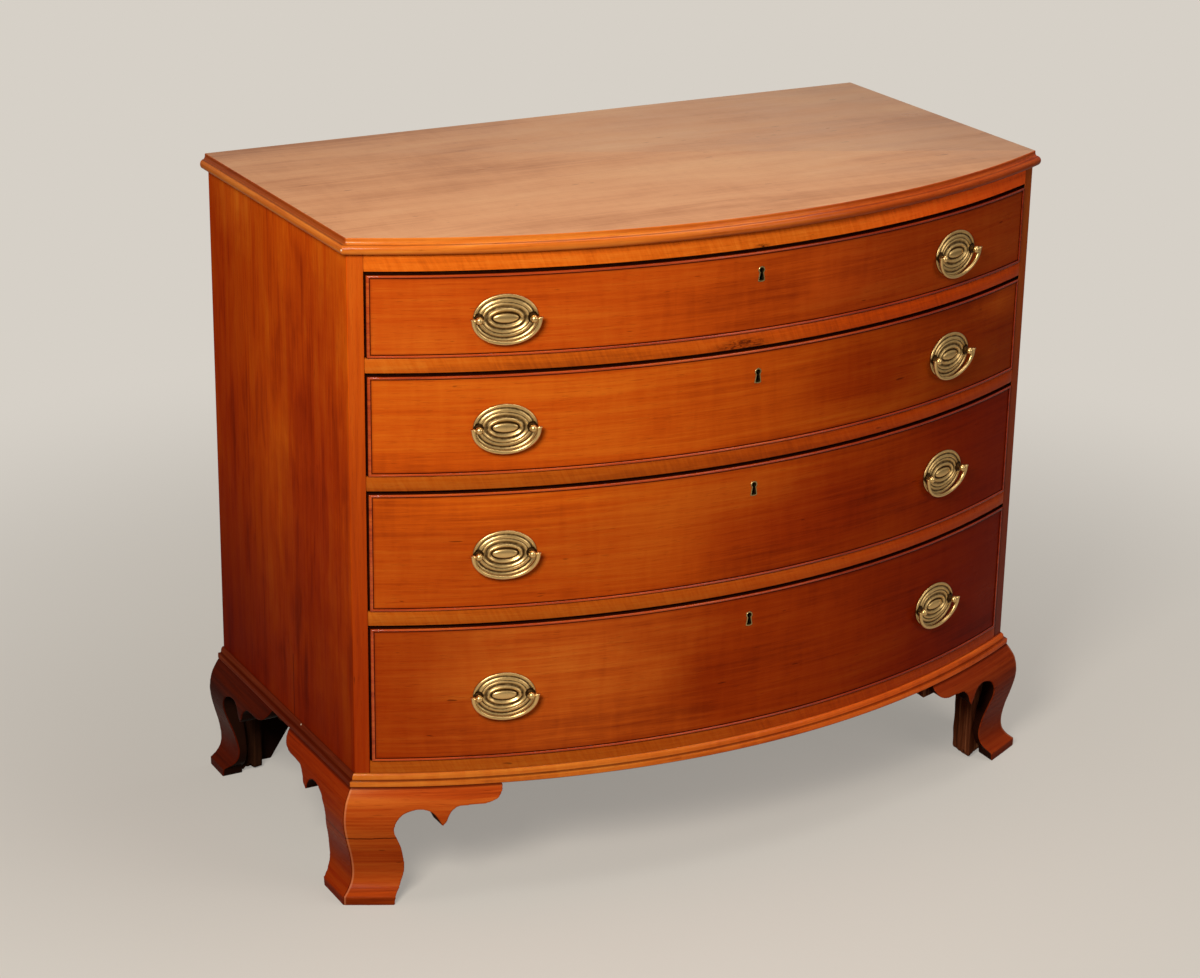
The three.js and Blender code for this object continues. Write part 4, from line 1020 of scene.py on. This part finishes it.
# Drawers
# Painted shade on the fronts: each drawer's tone times a share, darker for the lower drawers, and a tint deepening
# it to the right over a reach, partly patina
DRAWER_SHADES = {1: (1, 1.05, 1), 2: (1.08, 1.22, 1), 3: (0.92, 0.98, 0.9), 4: (0.67, 0.54, 0.52)}
DRAWER_TINTS = {
    1: (0.62, 0.52, 0.75, 1), 2: (0.46, 0.32, 0.34, 1), 3: (0.46, 0.18, 0.13, 1), 4: (0.58, 0.26, 0.16, 1),
}
DRAWER_REACHES = {1: (-0.14, 0.22), 2: (-0.18, 0.42), 3: (-0.06, 0.4), 4: (0.0, 0.42)}
DRAWER_CLOUDS = {
    1: [((0.12, 0, 0.75), (0.12, 0, 0.06), (1.2, 1.3, 1.4))],
    2: [((0.42, 0, 0.66), (0.08, 0, 0.05), (1.6, 2.2, 2.6)),
        ((0.15, 0, 0.61), (0.12, 0, 0.06), (0.8, 0.62, 0.6))],
    3: [((0.09, 0, 0.435), (0.2, 0, 0.1), (0.74, 0.52, 0.65)),
        ((-0.33, 0, 0.52), (0.25, 0, 0.06), (1.25, 1.42, 1.2))],
    4: [((-0.23, 0, 0.27), (0.21, 0, 0.22), (1.5, 2.4, 3.4)),
        ((-0.05, 0, 0.25), (0.08, 0, 0.05), (0.86, 0.78, 0.78))],
}


def drawer_front(number):
    name = f"drawer_{number}_front"
    low, high = heights(name)
    high -= TOP_GAP
    inset = BEAD_WIDTH + SEAM
    ease = 0.0004
    section = [
        (-FRONT_THICKNESS, low), (-BEAD_DEPTH, low), (-BEAD_DEPTH, low + inset), (-ease, low + inset),
        (0, low + inset + ease), (0, high - inset - ease), (-ease, high - inset), (-BEAD_DEPTH, high - inset),
        (-BEAD_DEPTH, high), (-FRONT_THICKNESS, high),
    ]
    made = along_bow(f"{name}_board", section, -FRONT_HALF, FRONT_HALF)
    behind = bow_y(-BEAD_DEPTH, FRONT_HALF)
    for sign in SIDES.values():
        boolean(made, slab("rabbet", (sign * (FRONT_HALF - inset), CORNER_Y - BOW_RISE, low - inset),
                           (sign * (FRONT_HALF + inset), behind, high + inset)))
    for side in SIDES:
        boolean(made, solid_copy(f"drawer_{number}_{side}_side"))
    hole = [(x, keyhole_centre(number) + z) for x, z in keyhole_outline(-SEAM)]
    face = bow_y(0, 0)
    boolean(made, prism("hole", hole, face - BEAD_DEPTH, face + KEYHOLE_DEPTH, axis="Y"))
    tidy(made)
    look = wood(f"{name}_wood", shaded(ORANGE, DRAWER_SHADES[number]),
                shift=(0.61 * number, 0.17 * number, 0.29 * number), streak=0.24, mottle=0.42, ring=0.15, curl=0.1,
                bands=0.14, gloss=0.3, spec=0.02, coat=0.012, bowed=True,
                marks_and_light=[drawer_dirt_and_shade, number, low, high])
    dress(made, look, f"drawer_{number}", "front_wood", name)
    return low, high


def drawer_dirt_and_shade(n, color, number, low, high):
    """Dirt lies along the cockbead, and the dark line at its inner edge is partly dirt and partly painted shade.
    Painted shade reddens the front to the right, partly patina, and darkens the edges just behind the face in the
    gap; further back the back and edges are bare.
    """
    color = falloff_tint(n, color, 0, *DRAWER_REACHES[number], 1.0, DRAWER_TINTS[number])
    color = clouds(n, color, DRAWER_CLOUDS[number])
    x, y, z = n.axes()
    rise = n.math("MINIMUM", z - (low + BEAD_WIDTH), high - BEAD_WIDTH - z)
    away = n.math("MINIMUM", FRONT_HALF - BEAD_WIDTH - abs(x), rise)
    out = bow_reach(n, x, y)
    # Dirt along the bead, the dark line by it, painted shade behind the face, then bare wood
    return n.fade(color, (tinted(RED[0], 0.7), away + n.noise(60) * 0.002, 0.0052, 0.001, 0.35),
                  (rgb(66, 12, 4), away, 0.0015, 0.0009, 0.9),
                  (SHADOW_BROWNS[0], out, -0.001, -0.002, 0.9),
                  (rgb(112, 70, 40), out, -0.004, -0.009, 0.9))


def cockbead(number, low, high):
    """The bead round a drawer front, carried round its four sides and mitred at the corners."""
    radius = BEAD_WIDTH / 2
    nose = arc(BEAD_STAND - radius, radius, radius, radius, -90, 90, 8)
    section = [(-BEAD_DEPTH, 0), *nose, (-BEAD_DEPTH, BEAD_WIDTH)]
    lines = [bow_line(out, d - FRONT_HALF, FRONT_HALF - d) for out, d in section]
    below, above = (
        [[(*line[i], edge + rise * d) for line, (_, d) in zip(lines, section)] for i in range(BOW_STEPS + 1)]
        for edge, rise in ((low, 1), (high, -1))
    )
    made = loft(f"drawer_{number}_cockbead", [*below, *reversed(above)], closed=True, smooth_angle=40)
    look = wood(f"drawer_{number}_bead_wood", BEAD, shift=(0.2, 0.1 * number, 0.3), gloss=0.14, spec=0.18, coat=0.28,
                flecks=0, bowed=True, marks_and_light=[bead_shade])
    dress(made, look, f"drawer_{number}", "front_wood")


def bead_shade(n, color):
    """Painted shade reddens the bead to the right, partly patina, and paints it black in the gap behind its crest.
    """
    x, y, _ = n.axes()
    color = falloff_tint(n, color, 0, -0.25, 0.35, 1.0)
    return n.fade(color, (rgb(30, 8, 4), bow_reach(n, x, y), 0.0007, -0.0001, 0.95))


def inner_boards():
    """The plain boards keep their frame shape and get their wood."""
    looks = {
        "left_side": raw_wood("drawer_side_wood", POPLAR, "Y"),
        "back": raw_wood("drawer_back_wood", POPLAR, shift=(0, 0.3, 0.2)),
        "bottom": raw_wood("drawer_bottom_wood", PINE, shift=(0.5, 0.1, 0)),
    }
    looks["right_side"] = looks["left_side"]
    dust = raw_wood("dust_board_wood", PINE, shift=(0.2, 0.7, 0))
    boards = {f"drawer_{number}_{part}": look for number in DRAWERS for part, look in looks.items()}
    boards |= {node: dust for node in ("dust_board_1", "dust_board_2", "dust_board_3", "case_bottom")}
    for node, look in boards.items():
        paint(frame["nodes"][node], look)


BACK_BOARDS = 3
NAIL_INSET = 0.005
NAIL_SHARES = (0.15, 0.5, 0.85)


def back_boards():
    """Three wide boards across the back, with chamfered joints and cut nails."""
    low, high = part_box("back_panel")
    look = raw_wood("back_board_wood", PINE, shift=(0.1, 0.2, 0.9))
    height = (high.z - low.z) / BACK_BOARDS
    nails = []
    for i in range(BACK_BOARDS):
        foot = low.z + i * height
        made = slab(f"back_board_{i + 1}", (low.x, low.y, foot + SEAM), (high.x, high.y, foot + height - SEAM),
                    bevel=0.0016)
        dress(made, look, "case", "inner_wood", *(["back_panel"] if i == 0 else []))
        nails += [(sign * (high.x - NAIL_INSET), foot + share * height) for share in NAIL_SHARES for sign in (-1, 1)]
    nail_heads(nails, high.y)


def nail_heads(places, y):
    work = bmesh.new()
    for x, z in places:
        turn = Matrix.Rotation(radians(90), 4, "X") @ Matrix.Rotation(random.uniform(0, 1), 4, "Z")
        bmesh.ops.create_cone(work, cap_ends=True, segments=6, radius1=0.0026, radius2=0.0018, depth=0.0012,
                              matrix=Matrix.Translation((x, y, z)) @ turn)
    mesh = bpy.data.meshes.new("back_nails")
    work.to_mesh(mesh)
    work.free()
    dress(placed("back_nails", mesh), iron(), "case", "lock_brass")


# Pulls. A pull's own frame has X along the bow, Y up and Z out of the front.
def pull_matrix(side, z):
    angle = SIDES[side] * asin(PULL_PLACE / BOW_RADIUS)
    out = Vector((sin(angle), -cos(angle), 0))
    along = Vector((cos(angle), sin(angle), 0))
    seat = Vector((0, BOW_CENTRE_Y, z)) + out * BOW_RADIUS + along * PULL_SLIDES[side]
    return Matrix.Translation(seat) @ Matrix((along, (0, 0, 1), out)).transposed().to_4x4()


# Millimetres: how far in from the plate's edge, and how high over the drawer front
PLATE_RINGS = [
    (0, 0.3), (0, 0.7), (0.3, 1.3), (1, 1.9), (1.9, 2.1), (2.8, 1.8), (3.6, 1.3), (4.3, 0.95), (4.9, 0.85),
    (5.4, 1.05), (6, 1.6), (7, 2.2), (8, 2.4), (8.9, 2.2), (9.6, 1.9), (9.9, 1.6), (10.2, 1.7), (10.7, 2.1),
    (11.3, 2.4), (12, 2.5), (12.6, 2.2), (13.2, 1.7), (14.2, 1.2), (15.2, 1.1), (16.2, 1.5), (17, 2.4),
    (17.7, 3.3), (18.4, 3.6), (19, 3.4), (19.8, 2.6), (20.8, 1.9), (21.6, 1.3), (22.2, 1.0), (22.7, 1.2), (23, 1.8),
]
# Shares of the last ring, and the boss's height
BOSS_SHARES = [(0.95, 2.4), (0.87, 2.9), (0.74, 3.3), (0.56, 3.6), (0.34, 3.8), (0.12, 3.9)]


def pull_plate(number, side, z):
    wide, tall = PLATE_HALF
    ovals = [(wide - inset * MM, tall - inset * MM, height) for inset, height in PLATE_RINGS]
    last = ovals[-1]
    ovals += [(last[0] * share, last[1] * share, height) for share, height in BOSS_SHARES]
    rings = [oval(a, b, SEAM + height * MM, PLATE_STEPS) for a, b, height in ovals]
    made = loft(f"drawer_{number}_pull_plate_{side}_cast", rings, smooth_angle=60)
    join(made, [pull_post(end * POST_SPACING / 2) for end in (-1, 1)])
    keep(made, "wear_and_shade", plate_wear_and_shade)
    made.data.transform(pull_matrix(side, z))
    dress(made, MATERIALS["brass"], f"drawer_{number}", "pull_brass", f"drawer_{number}_pull_plate_{side}")


NUT_OUT = 0.0016
NUT_THICK = 0.004
# Radii and heights of a pull's turned parts: the bolt from its nut's front, and the post from its seat
BOLT_PROFILE = [(0, -0.0062), (0.0017, -0.006), (0.0019, -NUT_THICK), (0.0021, 0)]
POST_PROFILE = [(0.0021, 0), (0.0046, 0.0008), (0.0048, 0.0028), (0.0034, 0.0042), (0.0026, 0.0056)]
POST_BALL = (0.0045, 0.004)


def pull_post(x):
    """A post with its ball head outside, and its bolt and nut inside the drawer."""
    inner = -FRONT_THICKNESS - NUT_OUT
    bolt = [(radius, inner + z) for radius, z in BOLT_PROFILE]
    made = lathe("post", [*bolt, *POST_PROFILE, *arc(0, PIVOT_OUT, *POST_BALL, -48, 90, 12)], 24)
    join(made, [slab("nut", (-NUT_HALF, -NUT_HALF, inner - NUT_THICK), (NUT_HALF, NUT_HALF, inner), bevel=0.0005)])
    made.data.transform(Matrix.Translation((x, 0, 0)))
    return made


def plate_height(inset):
    for (a, low), (b, high) in zip(PLATE_RINGS, PLATE_RINGS[1:]):
        if inset <= b:
            return lerp(low, high, (inset - a) / max(b - a, 0.01))
    return BOSS_SHARES[1][1]


def plate_wear_and_shade(place):
    """Crests are worn bright and hollows stay dark. Painted shade darkens the necks of the posts and a ring of the
    plate round them, and a painted highlight lightens the tops of their balls.
    """
    if place.z < 0:
        return 0.2
    nearest = min(hypot(place.x - end * POST_SPACING / 2, place.y) for end in (-1, 1))
    if nearest < 0.005 and place.z > 0.0024:
        # Painted shade on a post's neck and lower ball, painted highlight on its top
        return lerp(0.0, 0.85, clamp((place.z - 0.0062) / 0.004))
    wide, tall = PLATE_HALF
    low, high = 0, tall - 0.0001
    for _ in range(12):
        middle = (low + high) / 2
        if (place.x / (wide - middle)) ** 2 + (place.y / (tall - middle)) ** 2 < 1:
            low = middle
        else:
            high = middle
    around = sum(plate_height(clamp(low / MM + 0.5 * step, 0, 28)) for step in range(-4, 5)) / 9
    # A ring of painted shade round each post
    hollow = 0.75 if nearest < 0.0066 else 0
    return clamp(0.56 + ((place.z - SEAM) / MM - around) / 1.5 - hollow)


# Half of how wide and how deep a bail is at its shoulders, and its thickness there and in the middle
BAIL_SHOULDER = (0.0042, 0.0032)
BAIL_THICK = (0.0029, 0.0023)
# How far each ring of a bail's ear rises over the hinge line and stands out from it, and how thick it is
BAIL_EARS = [(0.0006, 0.0003, 0.003), (0.0014, 0.0008, 0.0032), (0.002, 0.0011, 0.0032), (0.0023, 0.0011, 0.0027)]
PIN_INSET = 0.0048
PIN_PROFILE = [(0.0015, 0), (0.0015, 0.0092), (0.0024, 0.0096), (0.0027, 0.0104), (0.0024, 0.0112), (0.0018, 0.0118)]


def bail(number, side, z):
    """A hanging bail: thick at its shoulders, flat on its ears, and bent in towards the plate below."""
    wide, drop = BAIL_HALF - BAIL_SHOULDER[0], BAIL_DROP - BAIL_SHOULDER[1]
    rings = []
    for i in range(BAIL_STEPS + 1):
        angle = pi * i / BAIL_STEPS
        across, down = cos(angle), sin(angle)
        middle = Vector((wide * across, -drop * down, -BAIL_BEND * down**1.5))
        thick = lerp(*BAIL_THICK, down**0.7)
        rings.append(bail_ring(middle, Vector((across / wide, -down / drop, 0)).normalized(), thick, thick * 0.86))
    right, left = (
        [bail_ring(Vector((sign * (wide + out), rise, 0)), Vector((sign, 0, 0)), thick, thick * 0.8)
         for rise, out, thick in BAIL_EARS]
        for sign in (1, -1)
    )
    made = loft(f"drawer_{number}_bail_{side}_cast", [*reversed(right), *rings, *left], smooth_angle=50)
    inner = POST_SPACING / 2 - PIN_INSET
    for sign in (-1, 1):
        pin = lathe("pin", [*PIN_PROFILE, (PIN_PROFILE[-1][0], wide - inner)], 16)
        pin.data.transform(Matrix.Translation((sign * inner, 0, 0)) @ Matrix.Rotation(sign * pi / 2, 4, "Y"))
        join(made, [pin])
    # Painted shade darkens the bail's side toward the plate, and its outer side is brighter
    keep(made, "wear_and_shade", lambda place: clamp(0.62 + 90 * (place.z + BAIL_BEND * (place.y / drop) ** 2), 0.15))
    made.data.transform(pull_matrix(side, z) @ Matrix.Translation((0, 0, PIVOT_OUT)))
    dress(made, MATERIALS["brass"], f"bail_{number}_{side}", "pull_brass", f"drawer_{number}_bail_{side}")


def bail_ring(middle, normal, wide, deep):
    return [middle + normal * x + Vector((0, 0, y)) for x, y, _ in oval(wide, deep, 0, 16)]


# Locks
KEYHOLE_PLACE = 0.0024
KEYHOLE_HEIGHT = 0.019
KEYHOLE_RADIUS = 0.0045
KEYHOLE_WALL = 0.0013
KEYHOLE_WAIST_SHARE = 0.68
KEYHOLE_FOOT_SHARE = 1.05
KEYHOLE_DEPTH = 0.012
KEYHOLE_DROPS = {1: 0.0295, 2: 0.0345, 3: 0.0335, 4: 0.0345}
KEYHOLE_STAND = 0.0003
LOCK_BED = 0.0005
SELVAGE_DEPTH = 0.0095
SELVAGE_THICK = 0.002
SCREW_INSET = 0.006
SCREW_DROP = 0.008
SCREW_PROFILE = [(0, -0.0005), (0.0031, -0.0005), (0.0031, 0.0001), (0.0024, 0.0005), (0, 0.0007)]
SCREW_SLOT = ((-0.004, -0.0003, 0.0002), (0.004, 0.0003, 0.002))


def keyhole_centre(number):
    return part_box(f"drawer_{number}_front")[1].z - KEYHOLE_DROPS[number]


def keyhole_outline(wall):
    """A round head over a waist that widens to a round foot, drawn in by the wall."""
    radius = KEYHOLE_RADIUS - wall
    waist = KEYHOLE_RADIUS * KEYHOLE_WAIST_SHARE - wall
    foot = KEYHOLE_RADIUS * KEYHOLE_FOOT_SHARE - wall
    head_z = KEYHOLE_HEIGHT / 2 - KEYHOLE_RADIUS
    low_z = wall - KEYHOLE_HEIGHT / 2
    start = degrees(asin(waist / radius))
    sag = foot * 0.35
    head = arc(KEYHOLE_PLACE, head_z, radius, radius, start - 90, 270 - start, 28)
    return [*head, *arc(KEYHOLE_PLACE, low_z + sag, foot, sag, 180, 360, 12)]


def lock(number):
    """A brass lined keyhole in front, and the lock's case in the top and back of the drawer front."""
    name = f"drawer_{number}_lock"
    low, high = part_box(name)
    centre = keyhole_centre(number)
    face, inner = bow_y(0, 0), bow_y(-FRONT_THICKNESS, 0)
    outer = [(x, z + centre) for x, z in keyhole_outline(0)]
    ease = [(lerp(KEYHOLE_PLACE, x, 0.93), lerp(centre, z, 0.98)) for x, z in outer]
    hollow = [(x, z + centre) for x, z in keyhole_outline(KEYHOLE_WALL)]
    stages = [(outer, inner), (outer, face), (ease, face - KEYHOLE_STAND), (hollow, face - 0.0002),
              (hollow, face + KEYHOLE_DEPTH)]
    made = loft(f"{name}_lining", [[(x, y, z) for x, z in line] for line, y in stages], smooth_angle=40)
    # The lining's rim on the face is bright, and inside the hole it is painted dark as shade
    keep(made, "wear_and_shade", lambda place: 0.9 if place.y < face + 0.0002 else 0.0)
    dress(made, MATERIALS["lining"], f"drawer_{number}", "lock_brass", name)
    top = high.z - TOP_GAP
    case = slab(f"{name}_case", (low.x, inner - LOCK_BED, low.z), (high.x, high.y, top), bevel=0.0006)
    selvage = slab("selvage", (low.x, inner - SELVAGE_DEPTH, top - SELVAGE_THICK), (high.x, inner, top + SEAM),
                   bevel=0.0003)
    places = [(x, z) for z in (low.z + SCREW_INSET, high.z - SCREW_DROP)
              for x in (low.x + SCREW_INSET, high.x - SCREW_INSET)]
    join(case, [selvage, *(screw_head(x, high.y, z) for x, z in places)])
    tidy(case)
    dress(case, MATERIALS["lock"], f"drawer_{number}", "lock_brass")


def screw_head(x, y, z):
    made = lathe("screw", SCREW_PROFILE, 20)
    boolean(made, slab("slot", *SCREW_SLOT))
    turn = Matrix.Rotation(random.uniform(0, pi), 4, "Z")
    made.data.transform(Matrix.Translation((x, y, z)) @ Matrix.Rotation(-pi / 2, 4, "X") @ turn)
    return made


# Stage
FLOOR = rgb(214, 207, 197)
BACKDROP = rgb(214, 208, 199)
FLOOR_HALF = 9
WORLD_LIGHT = (1.0, 0.96, 0.9, 1)
WORLD_STRENGTH = 0.07
GLOSS_STRENGTH = 0.55
# Each lamp's name, place, aim, size, power and colour
LAMPS = (
    ("key", (-1.7, -1.6, 1.9), (0, 0, 0.45), 0.8, 58, (1.0, 0.96, 0.9)),
    ("fill", (1.5, -2.5, 1.6), (0, 0, 0.45), 1.4, 14, (1.0, 0.96, 0.92)),
    ("top", (0.4, -0.2, 2.25), (0.12, -0.1, 0.8), 1.2, 18, (1.0, 0.98, 0.95)),
)
CAMERA_PLACE = (-1.7505, -3.0644, 1.7287)
CAMERA_TURNS = (28.8543, -20.6029, 0.9416)
CAMERA_LENS = 87.328


def camera():
    """The photograph's viewing angle, over a frame of 1200 by 978."""
    yaw, pitch, roll = (radians(a) for a in CAMERA_TURNS)
    forward = Vector((sin(yaw) * cos(pitch), cos(yaw) * cos(pitch), sin(pitch)))
    level = Vector((cos(yaw), -sin(yaw), 0))
    up = level.cross(forward)
    right = level * cos(roll) + up * sin(roll)
    up = up * cos(roll) - level * sin(roll)
    data = bpy.data.cameras.new("camera")
    data.sensor_width = 36
    data.lens = CAMERA_LENS
    data.clip_end = 60
    made = placed("camera", data)
    turn = Matrix((right, up, -forward)).transposed().to_4x4()
    made.matrix_world = Matrix.Translation(CAMERA_PLACE) @ turn
    bpy.context.scene.camera = made


def lamp(name, place, aim, size, power, color):
    data = bpy.data.lights.new(name, "AREA")
    data.size = size
    data.energy = power
    data.color = color
    made = placed(name, data)
    made.location = place
    made.rotation_euler = (Vector(aim) - Vector(place)).to_track_quat("-Z", "Y").to_euler()
    made.visible_camera = False


def studio():
    """A dim warm world that camera and gloss see as the pale backdrop, with a floor and three soft lamps."""
    bpy.context.scene.view_settings.view_transform = "Standard"
    n = Nodes("studio", bpy.data.worlds)
    bpy.context.scene.world = n.owner
    seen = n.tree.nodes["Background"]
    n.put(WORLD_LIGHT, seen.inputs["Color"])
    n.put(WORLD_STRENGTH, seen.inputs["Strength"])
    path = n.add("LightPath").outputs
    for ray, strength in (("Is Glossy Ray", GLOSS_STRENGTH), ("Is Camera Ray", 1.0)):
        other = n.add("Background", {"Color": BACKDROP, "Strength": strength})
        seen = n.add("MixShader", {0: path[ray], 1: seen.outputs[0], 2: other.outputs[0]})
    n.put(seen.outputs[0], n.tree.nodes["World Output"].inputs["Surface"])
    corners = oblong(-FLOOR_HALF, -FLOOR_HALF, FLOOR_HALF, FLOOR_HALF)
    floor = piece("floor", [(*corner, 0) for corner in corners], [(0, 1, 2, 3)])
    floor.data.materials.append(floor_material())
    for details in LAMPS:
        lamp(*details)


def floor_material():
    """Pale to the eye and in reflections, dim as a source of bounced light, and lost in the backdrop far out."""
    n = Nodes("floor")
    path = n.add("LightPath").outputs
    seen = n.math("MAXIMUM", path["Is Camera Ray"], path["Is Glossy Ray"])
    n.shade(n.mix(seen, rgb(112, 96, 80), FLOOR), 0.8, specular_ior_level=0.1)
    haze = n.span(n.away((0, 0, 0)), 0.6, 1.9, 0.45, 1.0) * path["Is Camera Ray"]
    glow = n.add("Emission", {"Color": BACKDROP, "Strength": 1.0}).outputs[0]
    mixed = n.add("MixShader", {0: haze, 1: n.shader.outputs[0], 2: glow})
    n.put(mixed.outputs[0], n.tree.nodes["Material Output"].inputs["Surface"])
    return n.owner


MATERIALS = {
    "brass": brass("old_brass", rgb(218, 182, 120), rgb(64, 42, 20)),
    "lining": brass("keyhole_brass", rgb(176, 150, 100), rgb(30, 22, 12), 0.3),
    "lock": iron(),
}


def main():
    camera()
    studio()
    top_board()
    case_sides()
    rails()
    base_mouldings()
    feet()
    back_boards()
    inner_boards()
    for number in DRAWERS:
        low, high = drawer_front(number)
        cockbead(number, low, high)
        lock(number)
        pivot = next(j["pos_m"][2] for j in frame["joints"] if j["name"] == f"bail_{number}_left_hinge")
        for side in SIDES:
            pull_plate(number, side, pivot)
            bail(number, side, pivot)


main()
